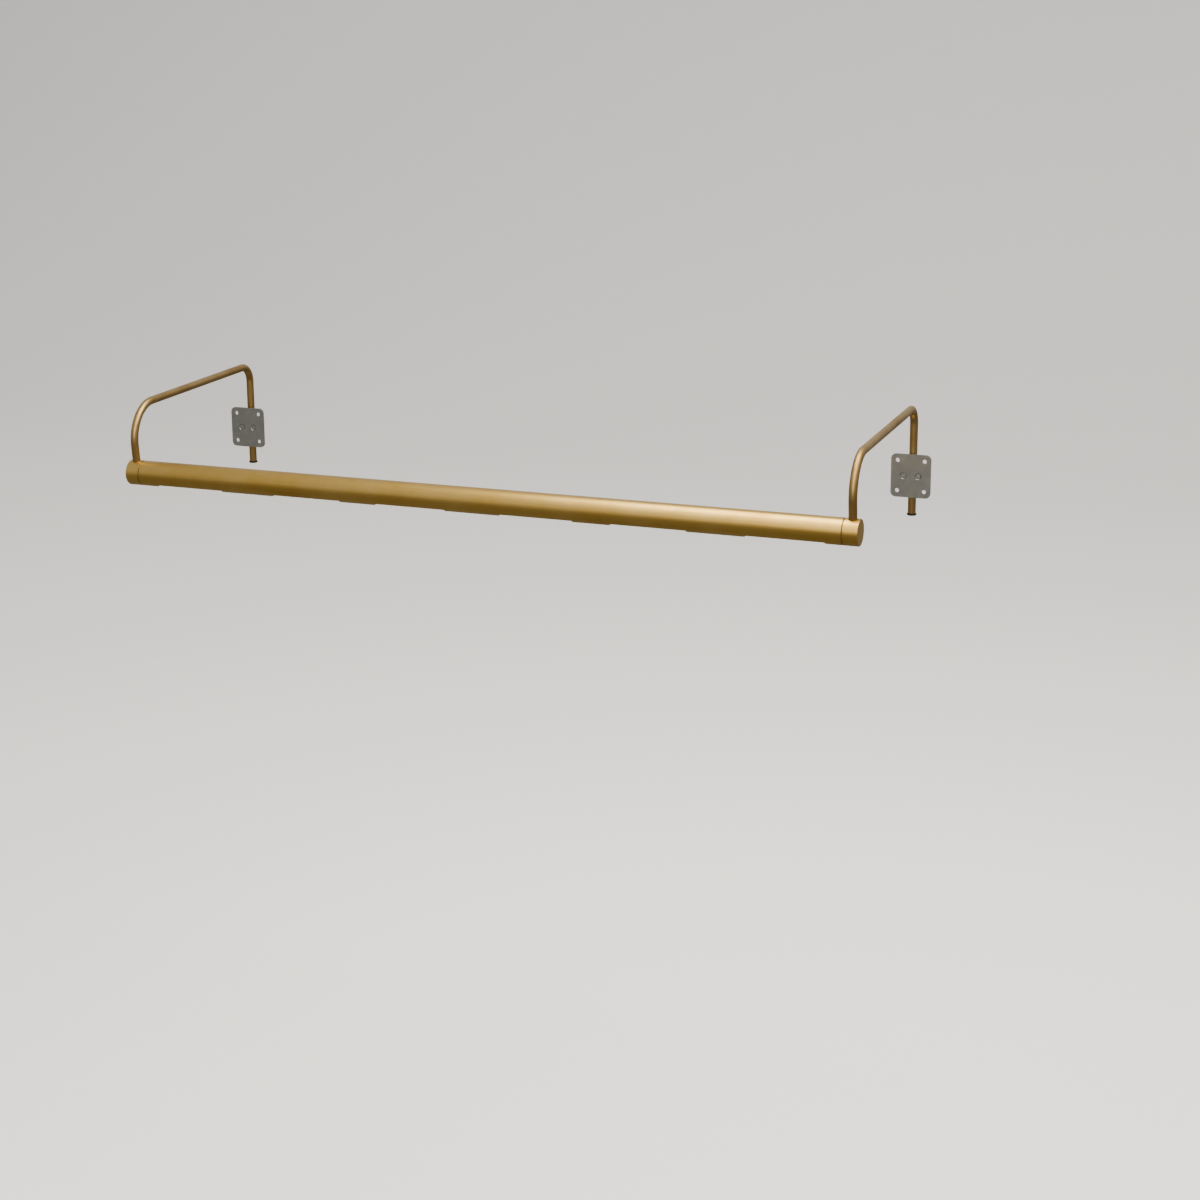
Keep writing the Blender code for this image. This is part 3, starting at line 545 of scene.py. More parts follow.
# Compression-moulded phenolic: near black, semi-matt.
BLACK_PHENOLIC = SmoothSolid("moulded_phenolic", colour="241f1c", shadow="171412", roughness=0.45, ior=1.6)
# Moulded rubber: matt black with a dusty bloom.
BLACK_RUBBER = SmoothSolid("moulded_rubber", colour="2a2928", shadow="1b1a1a", roughness=0.75, ior=1.52)
# Skived PTFE sheet filled with bronze powder, as bearings use: dull dark brown, slightly waxy.
BRONZE_PTFE = SmoothSolid("bronze_filled_ptfe", colour="8f7146", shadow="6f5532", roughness=0.55, ior=1.42)
# Extruded PVC insulation: smooth and semi-matt.
BLACK_JACKET = SmoothSolid("black_pvc_jacket", colour="232323", shadow="191919", roughness=0.5, ior=1.53)
WHITE_JACKET = SmoothSolid("white_pvc_jacket", colour="e4e1d6", shadow="d5d1c4", roughness=0.5, ior=1.53)
CLEAR_GLASS = LampGlass("clear_lamp_glass")
TUNGSTEN = DrawnTungsten("drawn_tungsten")


# Mesh work


def frame_box(node: str) -> tuple[Vector, Vector, Vector]:
    """Where a frame node is.

    Args:
        node: The node's name.

    Returns:
        Its lowest corner, its highest corner and its centre.
    """
    low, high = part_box(node)
    return low, high, (low + high) / 2


def along(direction: Sequence[float], start: Sequence[float] = (0.0, 0.0, 0.0)) -> Matrix:
    """A place whose local +Z points along a direction.

    Args:
        direction: Where +Z goes.
        start: Where the origin goes.

    Returns:
        The matrix of that place.
    """
    turn = Vector(direction).to_track_quat("Z", "Y").to_matrix().to_4x4()
    return Matrix.Translation(Vector(start)) @ turn


def rounded(points: Sequence[Point2], radius: float, steps: int = 3) -> list[Point2]:
    """Rounds the corners of an open outline, apart from its two ends.

    Args:
        points: The outline's corners.
        radius: The rounding's radius, less where an edge is short.
        steps: Segments in each rounding.

    Returns:
        The rounded outline.
    """
    path = [points[0]]
    for before, corner, after in zip(points, points[1:], points[2:]):
        here = Vector(corner)
        back, ahead = Vector(before) - here, Vector(after) - here
        reach = min(radius, back.length * EDGE_SHARE, ahead.length * EDGE_SHARE)
        start, end = here + back.normalized() * reach, here + ahead.normalized() * reach
        for k in range(steps + 1):
            t = k / steps
            spot = start * (1 - t) ** 2 + here * 2 * t * (1 - t) + end * t**2
            path.append((spot.x, spot.y))
    path.append(points[-1])
    return path


def lathe(
    profile: Sequence[Point2], place: Matrix, steps: int = TURNED_STEPS, ring: bool = False
) -> bmesh.types.BMesh:
    """Turns a profile about a place's +Z.

    Args:
        profile: (radius, height) points, down the outer side.
        place: The axis.
        steps: Segments round the axis.
        ring: True where the profile is a closed loop that stays clear of the axis.

    Returns:
        The closed mesh.
    """
    form = bmesh.new()
    rings = []
    for radius, height in profile:
        if radius < WELD:
            rings.append([form.verts.new(place @ Vector((0, 0, height)))] * steps)
            continue
        angles = (2 * math.pi * k / steps for k in range(steps))
        spots = ((radius * math.cos(a), radius * math.sin(a), height) for a in angles)
        rings.append([form.verts.new(place @ Vector(spot)) for spot in spots])
    pairs = list(zip(rings, rings[1:])) + ([(rings[-1], rings[0])] if ring else [])
    for upper, lower in pairs:
        for k in range(steps):
            corners = [upper[k], upper[(k + 1) % steps], lower[(k + 1) % steps], lower[k]]
            unique = list(dict.fromkeys(corners))
            if len(unique) > 2:
                form.faces.new(unique)
    bmesh.ops.recalc_face_normals(form, faces=form.faces)
    return form


def drill(
    radius: float, top: float, bottom: float, place: Matrix, steps: int = SMALL_STEPS
) -> bmesh.types.BMesh:
    """A cylinder that cuts a round hole.

    Args:
        radius: The hole's radius.
        top: Where the cylinder starts, along the place's +Z.
        bottom: Where it ends.
        place: The hole's axis.
        steps: Segments round it.

    Returns:
        The closed mesh.
    """
    return lathe([(0.0, top), (radius, top), (radius, bottom), (0.0, bottom)], place, steps)


def tidy_normals(mesh: bpy.types.Mesh) -> None:
    """Smooths a mesh apart from its real edges.

    Args:
        mesh: The mesh to shade.
    """
    mesh.shade_smooth()
    mesh.set_sharp_from_angle(angle=SMOOTH_LIMIT)


def weigh_normals(obj: bpy.types.Object) -> None:
    """Lets an object's large faces set the shading where they meet small ones, so that flats stay flat.

    Args:
        obj: The finished piece.
    """
    tidy_normals(obj.data)
    modifier = obj.modifiers.new("flats", "WEIGHTED_NORMAL")
    modifier.keep_sharp, modifier.weight = True, FLAT_WEIGHT
    settle(obj, keep_shading=True)


def link_new(name: str, data: bpy.types.ID) -> bpy.types.Object:
    """Makes an object of its data and links it to the scene.

    Args:
        name: The object's name.
        data: Its mesh, camera or light.

    Returns:
        The object, at the origin.
    """
    made = bpy.data.objects.new(name, data)
    bpy.context.scene.collection.objects.link(made)
    return made


def new_object(name: str, form: bmesh.types.BMesh) -> bpy.types.Object:
    """Makes an object of a bmesh, which is freed.

    Args:
        name: The object's name.
        form: Its shape.

    Returns:
        The object, at the origin.
    """
    mesh = bpy.data.meshes.new(name)
    form.to_mesh(mesh)
    form.free()
    return link_new(name, mesh)


def settle(obj: bpy.types.Object, keep_shading: bool = False) -> bpy.types.Object:
    """Turns an object with modifiers into a plain mesh.

    Args:
        obj: The object.
        keep_shading: True where its smoothing is already set.

    Returns:
        The same object, with its modifiers gone.
    """
    graph = bpy.context.evaluated_depsgraph_get()
    mesh = bpy.data.meshes.new_from_object(
        obj.evaluated_get(graph), preserve_all_data_layers=True, depsgraph=graph
    )
    obj.modifiers.clear()
    obj.data = mesh
    if not keep_shading:
        tidy_normals(mesh)
    return obj


def cut(obj: bpy.types.Object, tools: Iterable[bmesh.types.BMesh]) -> bpy.types.Object:
    """Subtracts shapes from an object, one after the other.

    Args:
        obj: The object that is cut.
        tools: The shapes taken away.

    Returns:
        The cut object.
    """
    for tool in tools:
        cutter = new_object("cutter", tool)
        modifier = obj.modifiers.new("cut", "BOOLEAN")
        modifier.operation, modifier.object, modifier.solver = "DIFFERENCE", cutter, "EXACT"
        settle(obj)
        bpy.data.objects.remove(cutter)
    return obj


def soften(obj: bpy.types.Object, width: float, segments: int = 2) -> bpy.types.Object:
    """Breaks an object's sharp edges.

    Args:
        obj: The object.
        width: The bevel's width.
        segments: Segments across it.

    Returns:
        The object with its edges broken.
    """
    modifier = obj.modifiers.new("edges", "BEVEL")
    modifier.width, modifier.segments = width, segments
    modifier.limit_method, modifier.angle_limit = "ANGLE", SMOOTH_LIMIT
    return settle(obj)


def dress(obj: bpy.types.Object, finish: Finish, body: str, nodes: Sequence[str]) -> None:
    """Gives a finished piece its material, its body and the frame nodes it stands for.

    Args:
        obj: The piece.
        finish: Its finish.
        body: The body it rides on.
        nodes: The frame nodes it replaces.
    """
    weigh_normals(obj)
    obj.data.materials.clear()
    obj.data.materials.append(finish.material())
    for face in obj.data.polygons:
        face.material_index = 0
    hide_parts(*nodes)
    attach(obj, body)
    log.info("%s: %d faces on %s", obj.name, len(obj.data.polygons), body)


def repaint(node: str, finish: Finish) -> None:
    """Gives a frame node that stays in view its finish.

    Args:
        node: The node's name.
        finish: Its finish.
    """
    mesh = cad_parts[node].data
    mesh.materials.clear()
    mesh.materials.append(finish.material())
    log.info("%s keeps its frame mesh, in %s", node, finish.name)


# Geometry node trees


class GeometryTree:
    """A geometry node tree with named inputs, applied to an object and made a plain mesh."""

    def __init__(self, name: str, sizes: dict[str, float]) -> None:
        """Starts a tree.

        Args:
            name: The tree's name.
            sizes: Its inputs and their values.
        """
        self.tree = bpy.data.node_groups.new(name, "GeometryNodeTree")
        face = self.tree.interface
        face.new_socket("Geometry", in_out="INPUT", socket_type="NodeSocketGeometry")
        face.new_socket("Geometry", in_out="OUTPUT", socket_type="NodeSocketGeometry")
        self.sizes = sizes
        kinds = {bool: "NodeSocketBool", int: "NodeSocketInt", float: "NodeSocketFloat"}
        for label, value in sizes.items():
            face.new_socket(label, in_out="INPUT", socket_type=kinds[type(value)])
        self.source = self.tree.nodes.new("NodeGroupInput")

    def value(self, label: str) -> bpy.types.NodeSocket:
        """The socket of a named input."""
        return self.source.outputs[label]

    def add(self, kind: str, inputs: Optional[dict] = None, **settings: Any) -> Any:
        """Adds a node to the tree, as add_node does."""
        return add_node(self.tree, kind, inputs, **settings)

    def math(self, operation: str, first: Any, second: Any = 0.0, third: Any = 0.0) -> bpy.types.NodeSocket:
        """A sum in the tree.

        Args:
            operation: The Math node's operation.
            first: Its first value or socket.
            second: Its second.
            third: Its third.

        Returns:
            The result's socket.
        """
        return self.add("ShaderNodeMath", {0: first, 1: second, 2: third}, operation=operation).outputs[0]

    def close(self, shape: bpy.types.NodeSocket, finish: Finish) -> None:
        """Ends the tree in real geometry with a material.

        Args:
            shape: The geometry's socket.
            finish: The finish that it gets.
        """
        real = self.add("GeometryNodeRealizeInstances", {"Geometry": shape}).outputs[0]
        painted = self.add("GeometryNodeSetMaterial", {"Geometry": real, "Material": finish.material()})
        end = self.tree.nodes.new("NodeGroupOutput")
        self.tree.links.new(painted.outputs[0], end.inputs["Geometry"])

    def apply(self, obj: bpy.types.Object) -> bpy.types.Object:
        """Runs the tree on an object and keeps the result as its mesh.

        Args:
            obj: The object that gives the tree its input.

        Returns:
            The same object.
        """
        modifier = obj.modifiers.new(self.tree.name, "NODES")
        modifier.node_group = self.tree
        for item in self.tree.interface.items_tree:
            if item.in_out == "INPUT" and item.name in self.sizes:
                modifier[item.identifier] = self.sizes[item.name]
        return settle(obj)


def path_object(
    name: str, points: Sequence[Sequence[float]], bends: Sequence[float] = ()
) -> bpy.types.Object:
    """A line of edges through points, as the input of a sweep.

    Args:
        name: The object's name.
        points: The line's points.
        bends: The bend's radius at each point, kept as the attribute bend.

    Returns:
        The object.
    """
    mesh = bpy.data.meshes.new(name)
    mesh.from_pydata([tuple(p) for p in points], [(k, k + 1) for k in range(len(points) - 1)], [])
    if bends:
        mesh.attributes.new("bend", "FLOAT", "POINT").data.foreach_set("value", bends)
    return link_new(name, mesh)


def rod_tree(radius: float, steps: int, closed: bool, finish: Finish) -> GeometryTree:
    """Sweeps a round section along a line whose corners are bent to the radii that it carries.

    Args:
        radius: The rod's radius.
        steps: Segments round the rod.
        closed: True where its ends are filled.
        finish: The rod's finish.

    Returns:
        The tree. Its mesh has the attribute grain: the way along the rod, and the place in its section.
    """
    tree = GeometryTree("bent_" + finish.name, {"Radius": radius, "Steps": steps, "Closed": closed})
    line = tree.add("GeometryNodeMeshToCurve", {"Mesh": tree.value("Geometry")}).outputs[0]
    bend = tree.add("GeometryNodeInputNamedAttribute", {"Name": "bend"}, data_type="FLOAT").outputs[0]
    bent = tree.add(
        "GeometryNodeFilletCurve", {"Curve": line, "Count": BEND_STEPS, "Radius": bend}, mode="POLY"
    ).outputs[0]
    length = tree.add("GeometryNodeSplineParameter").outputs["Length"]
    marked = tree.add(
        "GeometryNodeStoreNamedAttribute",
        {"Geometry": bent, "Name": "along", "Value": length},
        data_type="FLOAT",
        domain="POINT",
    ).outputs[0]
    circle = tree.add(
        "GeometryNodeCurvePrimitiveCircle",
        {"Resolution": tree.value("Steps"), "Radius": tree.value("Radius")},
        mode="RADIUS",
    ).outputs[0]
    spot = tree.add("GeometryNodeInputPosition").outputs[0]
    section = tree.add(
        "GeometryNodeStoreNamedAttribute",
        {"Geometry": circle, "Name": "round", "Value": spot},
        data_type="FLOAT_VECTOR",
        domain="POINT",
    ).outputs[0]
    swept = tree.add(
        "GeometryNodeCurveToMesh",
        {"Curve": marked, "Profile Curve": section, "Fill Caps": tree.value("Closed")},
    ).outputs[0]
    run = tree.add("GeometryNodeInputNamedAttribute", {"Name": "along"}, data_type="FLOAT").outputs[0]
    ring = tree.add(
        "GeometryNodeInputNamedAttribute", {"Name": "round"}, data_type="FLOAT_VECTOR"
    ).outputs[0]
    parts = tree.add("ShaderNodeSeparateXYZ", {"Vector": ring}).outputs
    grain = tree.add("ShaderNodeCombineXYZ", {"X": run, "Y": parts["X"], "Z": parts["Y"]}).outputs[0]
    kept = tree.add(
        "GeometryNodeStoreNamedAttribute",
        {"Geometry": swept, "Name": "grain", "Value": grain},
        data_type="FLOAT_VECTOR",
        domain="POINT",
    ).outputs[0]
    tree.close(kept, finish)
    return tree


def tube_tree(shade: "Shade") -> GeometryTree:
    """Sweeps the shade's section along its stations and leaves out the windows.

    Args:
        shade: The shade, for its sizes.

    Returns:
        The tree. Its input is the line of stations along the axis.
    """
    sizes = {
        "Radius": shade.radius,
        "Steps": TUBE_STEPS,
        "Pitch": shade.pitch,
        "Pair land": shade.pair_land,
        "Window length": shade.window_length,
        "Half angle": shade.window_half_angle,
        "Aim": shade.aim - math.pi / 2,
        "Axis Y": AXIS.y,
        "Axis Z": AXIS.z,
    }
    tree = GeometryTree("windowed_tube", sizes)
    line = tree.add("GeometryNodeMeshToCurve", {"Mesh": tree.value("Geometry")}).outputs[0]
    circle = tree.add(
        "GeometryNodeCurvePrimitiveCircle",
        {"Resolution": tree.value("Steps"), "Radius": tree.value("Radius")},
        mode="RADIUS",
    ).outputs[0]
    turned = tree.add(
        "GeometryNodeTransform", {"Geometry": circle, "Rotation": (0.0, 0.0, shade.aim)}
    ).outputs[0]
    skin = tree.add("GeometryNodeCurveToMesh", {"Curve": line, "Profile Curve": turned}).outputs[0]
    place = tree.add("GeometryNodeInputPosition").outputs[0]
    parts = tree.add("ShaderNodeSeparateXYZ", {"Vector": place}).outputs
    beside = tree.math("PINGPONG", parts["X"], tree.math("MULTIPLY", tree.value("Pitch"), 0.5))
    start = tree.math("MULTIPLY", tree.value("Pair land"), 0.5)
    past_land = tree.math("GREATER_THAN", beside, start)
    end = tree.math("ADD", start, tree.value("Window length"))
    before_end = tree.math("LESS_THAN", beside, end)
    across = tree.math("SUBTRACT", parts["Y"], tree.value("Axis Y"))
    up = tree.math("SUBTRACT", parts["Z"], tree.value("Axis Z"))
    angle = tree.math("ARCTAN2", up, across)
    off_aim = tree.math("WRAP", tree.math("SUBTRACT", angle, tree.value("Aim")), math.pi, -math.pi)
    inside = tree.math("LESS_THAN", tree.math("ABSOLUTE", off_aim), tree.value("Half angle"))
    within = tree.math("MULTIPLY", tree.math("MULTIPLY", past_land, before_end), inside)
    open_skin = tree.add(
        "GeometryNodeDeleteGeometry", {"Geometry": skin, "Selection": within}, domain="FACE"
    ).outputs[0]
    tree.close(open_skin, BRASS_TUBE)
    return tree


def rib_tree(radius: float, ribs: int, length: float, rib_radius: float) -> GeometryTree:
    """Sets straight ribs round a head, on top of the shape that it is given.

    Args:
        radius: Radius of the circle of ribs.
        ribs: How many there are.
        length: A rib's length.
        rib_radius: A rib's radius.

    Returns:
        The tree, about local Z, with the ribs centred on the origin.
    """
    sizes = {"Circle": radius, "Ribs": ribs, "Length": length, "Rib radius": rib_radius}
    tree = GeometryTree("knurl", sizes)
    circle = tree.add(
        "GeometryNodeMeshCircle", {"Vertices": tree.value("Ribs"), "Radius": tree.value("Circle")}
    ).outputs[0]
    rib = tree.add(
        "GeometryNodeMeshCylinder",
        {"Vertices": 8, "Radius": tree.value("Rib radius"), "Depth": tree.value("Length")},
    ).outputs[0]
    placed = tree.add("GeometryNodeInstanceOnPoints", {"Points": circle, "Instance": rib}).outputs[0]
    joined = tree.add("GeometryNodeJoinGeometry")
    tree.tree.links.new(tree.value("Geometry"), joined.inputs[0])
    tree.tree.links.new(placed, joined.inputs[0])
    tree.close(joined.outputs[0], BRASS_TURNED)
    return tree


def scatter_tree(pattern: bpy.types.Object, finish: Finish) -> GeometryTree:
    """Puts a copy of a pattern on each input point, facing along the point's attribute facing.

    Args:
        pattern: The object that is copied.
        finish: The finish of the copies.

    Returns:
        The tree.
    """
    tree = GeometryTree("set_of_" + pattern.name, {"Scale": 1.0})
    shape = tree.add("GeometryNodeObjectInfo", {"Object": pattern}).outputs["Geometry"]
    facing = tree.add(
        "GeometryNodeInputNamedAttribute", {"Name": "facing"}, data_type="FLOAT_VECTOR"
    ).outputs[0]
    turn = tree.add("FunctionNodeAlignRotationToVector", {"Vector": facing}, axis="Z").outputs[0]
    placed = tree.add(
        "GeometryNodeInstanceOnPoints",
        {"Points": tree.value("Geometry"), "Instance": shape, "Rotation": turn, "Scale": tree.value("Scale")},
    ).outputs[0]
    tree.close(placed, finish)
    return tree


def coil_tree(turns: float, radius: float, height: float, wire: float) -> GeometryTree:
    """A close coil of wire about local Z.

    Args:
        turns: Turns in the coil.
        radius: The coil's radius.
        height: Its length.
        wire: The wire's radius.

    Returns:
        The tree. It takes no input shape.
    """
    sizes = {"Turns": turns, "Coil radius": radius, "Height": height, "Wire": wire}
    tree = GeometryTree("filament_coil", sizes)
    spiral = tree.add(
        "GeometryNodeCurveSpiral",
        {
            "Resolution": 10,
            "Rotations": tree.value("Turns"),
            "Start Radius": tree.value("Coil radius"),
            "End Radius": tree.value("Coil radius"),
            "Height": tree.value("Height"),
        },
    ).outputs[0]
    section = tree.add(
        "GeometryNodeCurvePrimitiveCircle", {"Resolution": 6, "Radius": tree.value("Wire")}, mode="RADIUS"
    ).outputs[0]
    swept = tree.add(
        "GeometryNodeCurveToMesh", {"Curve": spiral, "Profile Curve": section, "Fill Caps": True}
    ).outputs[0]
    tree.close(swept, TUNGSTEN)
    return tree


# Sub-assemblies


@dataclass
class Shade:
    """The windowed tube and the reflector tray inside it.

    Attributes:
        wall: The tube's wall.
        pitch: Distance between two pairs of windows.
        pair_land: Width of the land between the two windows of a pair.
        window_length: A window's length.
        window_half_angle: Half the angle that a window opens.
        aim: How far the windows look towards the picture.
        edge: The break on the cut edges.
        ring_spacing: Distance between the rings of the tube's mesh.
        tray_half_angle: Half the angle that the tray covers.
        tray_sheet: The tray's thickness.
        tray_lip_gap: Gap between the tray's folded lips and the tube.
        tray_gap: Gap between the rest of the tray and the tube.
        wire_hole: Radius of the tray's holes for the wires.
        screw_hole: Radius of the tube's holes for its screws.
        screw_tilt: How far above level these holes face.
        radius: The tube's outer radius.
    """

    wall: float = 0.9 * MM
    pitch: float = 245.0 * MM
    pair_land: float = 55.0 * MM
    window_length: float = 77.0 * MM
    window_half_angle: float = math.radians(60.0)
    aim: float = math.radians(22.0)
    edge: float = 0.15 * MM
    ring_spacing: float = 12.0 * MM
    tray_half_angle: float = math.radians(112.0)
    tray_sheet: float = 0.5 * MM
    tray_lip_gap: float = 0.4 * MM
    tray_gap: float = 2.1 * MM
    wire_hole: float = 2.6 * MM
    screw_hole: float = 1.65 * MM
    screw_tilt: float = SCREW_TILT
    radius: float = (SHADE_HIGH.y - SHADE_LOW.y) / 2

    def centres(self) -> list[float]:
        """Where the middle of each pair of windows is, along X."""
        return [-self.pitch, 0.0, self.pitch]

    def stations(self) -> list[float]:
        """Places along X where the tube's mesh has a ring.

        Returns:
            The tube's ends and window ends, with rings between them at a steady distance.
        """
        marks = [SHADE_LOW.x, SHADE_HIGH.x]
        for centre in self.centres():
            for side in (-1, 1):
                marks.append(centre + side * self.pair_land / 2)
                marks.append(centre + side * (self.pair_land / 2 + self.window_length))
        marks.sort()
        stops = [marks[0]]
        for start, end in zip(marks, marks[1:]):
            count = max(1, round((end - start) / self.ring_spacing))
            stops += [start + (end - start) * (k + 1) / count for k in range(count)]
        return stops

    def build_tube(self) -> None:
        """Makes the tube with its windows, its wall and the breaks on its edges."""
        line = path_object("shade_shell", [(x, AXIS.y, AXIS.z) for x in self.stations()])
        shell = tube_tree(self).apply(line)
        form = bmesh.new()
        form.from_mesh(shell.data)
        bmesh.ops.remove_doubles(form, verts=form.verts, dist=WELD)
        for face in form.faces:
            middle = face.calc_center_median()
            out = Vector((0, middle.y - AXIS.y, middle.z - AXIS.z))
            if face.normal.dot(out) < 0:
                face.normal_flip()
        form.to_mesh(shell.data)
        form.free()
        solid = shell.modifiers.new("wall", "SOLIDIFY")
        solid.thickness, solid.offset, solid.use_even_offset = self.wall, -1.0, True
        settle(shell)
        out = (0.0, math.cos(self.screw_tilt), math.sin(self.screw_tilt))
        stop = frame_box("right_stop_screw")[2].x
        places = [along(out, (x, AXIS.y, AXIS.z)) for x in (-stop, *self.centres(), stop)]
        cut(shell, [drill(self.screw_hole, 2 * self.radius, 0.0, place) for place in places])
        soften(shell, self.edge)
        dress(shell, BRASS_TUBE, "shade", ["shade_tube"])

    def build_tray(self) -> None:
        """Makes the reflector tray: a bent sheet behind the lamps, with holes for the wires."""
        low, high, _ = frame_box("reflector_tray")
        crown = self.aim + math.pi / 2
        lip = self.radius - self.wall - self.tray_lip_gap
        outer = self.radius - self.wall - self.tray_gap
        half = self.tray_half_angle
        span = [crown - half + 2 * half * k / FINE_STEPS for k in range(FINE_STEPS + 1)]
        outline = [(lip, span[0]), *((outer, angle) for angle in span), (lip, span[-1])]
        form = bmesh.new()
        rows = []
        for x in (low.x, high.x):
            spots = [(x, AXIS.y + r * math.cos(a), AXIS.z + r * math.sin(a)) for r, a in outline]
            rows.append([form.verts.new(spot) for spot in spots])
        for k in range(len(outline) - 1):
            form.faces.new([rows[0][k], rows[0][k + 1], rows[1][k + 1], rows[1][k]])
        bmesh.ops.recalc_face_normals(form, faces=form.faces)
        tray = new_object("lamp_reflector", form)
        middle = tray.data.polygons[len(outline) // 2]
        inward = middle.normal.dot(middle.center - AXIS) < 0
        solid = tray.modifiers.new("sheet", "SOLIDIFY")
        solid.thickness, solid.offset = self.tray_sheet, 1.0 if inward else -1.0
        settle(tray)
        out = (0.0, math.cos(crown), math.sin(crown))
        places = [along(out, (x, AXIS.y, AXIS.z)) for x in self.centres()]
        cut(tray, [drill(self.wire_hole, self.radius, 0.0, place, TURNED_STEPS) for place in places])
        dress(tray, WHITE_ENAMEL, "shade", ["reflector_tray"])


@dataclass
class EndCap:
    """One turned cap with its swivel washer and friction ring.

    Attributes:
        label: left or right.
        chamfer: The break round its outer face.
        eased: Radius on the other edges.
        spigot_gap: Gap between spigot and tube.
        spigot_length: The spigot's length.
        ring_groove: The friction ring's groove, as its nearer and farther edge from the spigot's mouth.
        ring_depth: That groove's depth.
        slot_half_width: Half the width of the slot for the stop screw.
        slot_depth: That slot's depth.
        slot_middle: The angle of its middle.
        slot_half_angle: Half the angle that it covers.
        arm_gap: Gap round the arm and the grub screw in their holes.
        arm_lean: How far the arm leans forward where it leaves the cap.
        grub_way: The grub screw's hole, as its outer and inner end from the screw's middle.
        end_wall: Thickness of the outer face.
        bore: Radius of the way for the lead.
        washer_width: How wide the washer is, from its outer edge inwards.
        radius: The tube's outer radius, which is the head's too.
        wall: The tube's wall.
    """

    label: str
    chamfer: float = 0.55 * MM
    eased: float = 0.25 * MM
    spigot_gap: float = 0.35 * MM
    spigot_length: float = 12.0 * MM
    ring_groove: Point2 = (1.6 * MM, 3.6 * MM)
    ring_depth: float = 1.8 * MM
    slot_half_width: float = 1.65 * MM
    slot_depth: float = 2.0 * MM
    slot_middle: float = SCREW_TILT
    slot_half_angle: float = math.radians(55.0)
    arm_gap: float = 0.22 * MM
    arm_lean: float = ARM_LEAN
    grub_way: Point2 = (10.0 * MM, -6.0 * MM)
    end_wall: float = 3.0 * MM
    bore: float = 5.07 * MM
    washer_width: float = 1.0 * MM
    radius: float = Shade.radius
    wall: float = Shade.wall

    def build(self) -> None:
        """Makes the cap's head and spigot, with its slot and drilled for its arm and grub screw."""
        node = f"{self.label}_end_cap"
        low, high, _ = frame_box(node)
        side = 1 if self.label == "right" else -1
        length = high.x - low.x
        mouth = low.x if side > 0 else high.x
        spigot = self.radius - self.wall - self.spigot_gap
        ring = spigot - self.ring_depth
        near, far = self.ring_groove
        outline = [
            (0.0, length),
            (self.radius - self.chamfer, length),
            (self.radius, length - self.chamfer),
            (self.radius, self.spigot_length),
            (spigot, self.spigot_length),
            (spigot, far),
            (ring, far),
            (ring, near),
            (spigot, near),
            (spigot, 0.0),
            (self.bore, 0.0),
            (self.bore, length - self.end_wall),
            (0.0, length - self.end_wall),
        ]
        place = along((side, 0, 0), (mouth, AXIS.y, AXIS.z))
        turned = lathe(rounded(outline, self.eased), place, CAP_STEPS)
        cap = new_object(f"{self.label}_turned_cap", turned)
        rod_low, rod_high, rod = frame_box(f"{self.label}_arm")
        hole = (rod_high.x - rod_low.x) / 2 + self.arm_gap
        lean = along((0, -math.sin(self.arm_lean), math.cos(self.arm_lean)), (rod.x, AXIS.y, AXIS.z))
        arm_drill = drill(hole, 2 * self.radius, 0.0, lean, FINE_STEPS)
        stop = frame_box(f"{self.label}_stop_screw")[2]
        cut(cap, [arm_drill, self.grub_drill(), self.slot_cutter(stop.x, spigot)])
        dress(cap, BRASS_CAP, "arm_set", [node])
        self.build_washer(side)
        self.build_ring(side, spigot)

    def grub_drill(self) -> bmesh.types.BMesh:
        """The hole for the grub screw."""
        low, high, centre = frame_box(f"{self.label}_arm_grub_screw")
        out = (0, math.cos(self.arm_lean), math.sin(self.arm_lean))
        return drill((high.x - low.x) / 2 + self.arm_gap, *self.grub_way, along(out, centre))

    def slot_cutter(self, x: float, spigot: float) -> bmesh.types.BMesh:
        """The slot in the spigot that the stop screw runs in.

        Args:
            x: The slot's middle along the shade.
            spigot: The spigot's radius.

        Returns:
            A closed arc of square section.
        """
        form = bmesh.new()
        steps = 24
        floor, outside = spigot - self.slot_depth, 2 * spigot
        rows = []
        for k in range(steps + 1):
            angle = self.slot_middle + self.slot_half_angle * (2 * k / steps - 1)
            row = []
            for reach, way in ((floor, -1), (outside, -1), (outside, 1), (floor, 1)):
                out = Vector((0, math.cos(angle), math.sin(angle))) * reach
                row.append(form.verts.new(Vector((x + way * self.slot_half_width, AXIS.y, AXIS.z)) + out))
            rows.append(row)
        for before, after in zip(rows, rows[1:]):
            for k in range(4):
                form.faces.new([before[k], before[(k + 1) % 4], after[(k + 1) % 4], after[k]])
        form.faces.new(rows[0])
        form.faces.new(rows[-1])
        bmesh.ops.recalc_face_normals(form, faces=form.faces)
        return form

    def build_ring(self, side: int, spigot: float) -> None:
        """Makes the friction ring in its groove.

        Args:
            side: 1 for the right cap, -1 for the left one.
            spigot: The spigot's radius.
        """
        node = f"{self.label}_friction_ring"
        low, high, centre = frame_box(node)
        wire = (high.x - low.x) / 2
        middle = (high.y - low.y) / 2 - wire
        section_steps, ring_steps = 16, 72
        angles = (2 * math.pi * k / section_steps for k in range(section_steps))
        section = [(middle + wire * math.cos(a), wire * math.sin(a)) for a in angles]
        form = lathe(section, along((side, 0, 0), centre), ring_steps, ring=True)
        ring = new_object(f"{self.label}_rubber_ring", form)
        dress(ring, BLACK_RUBBER, "arm_set", [node])

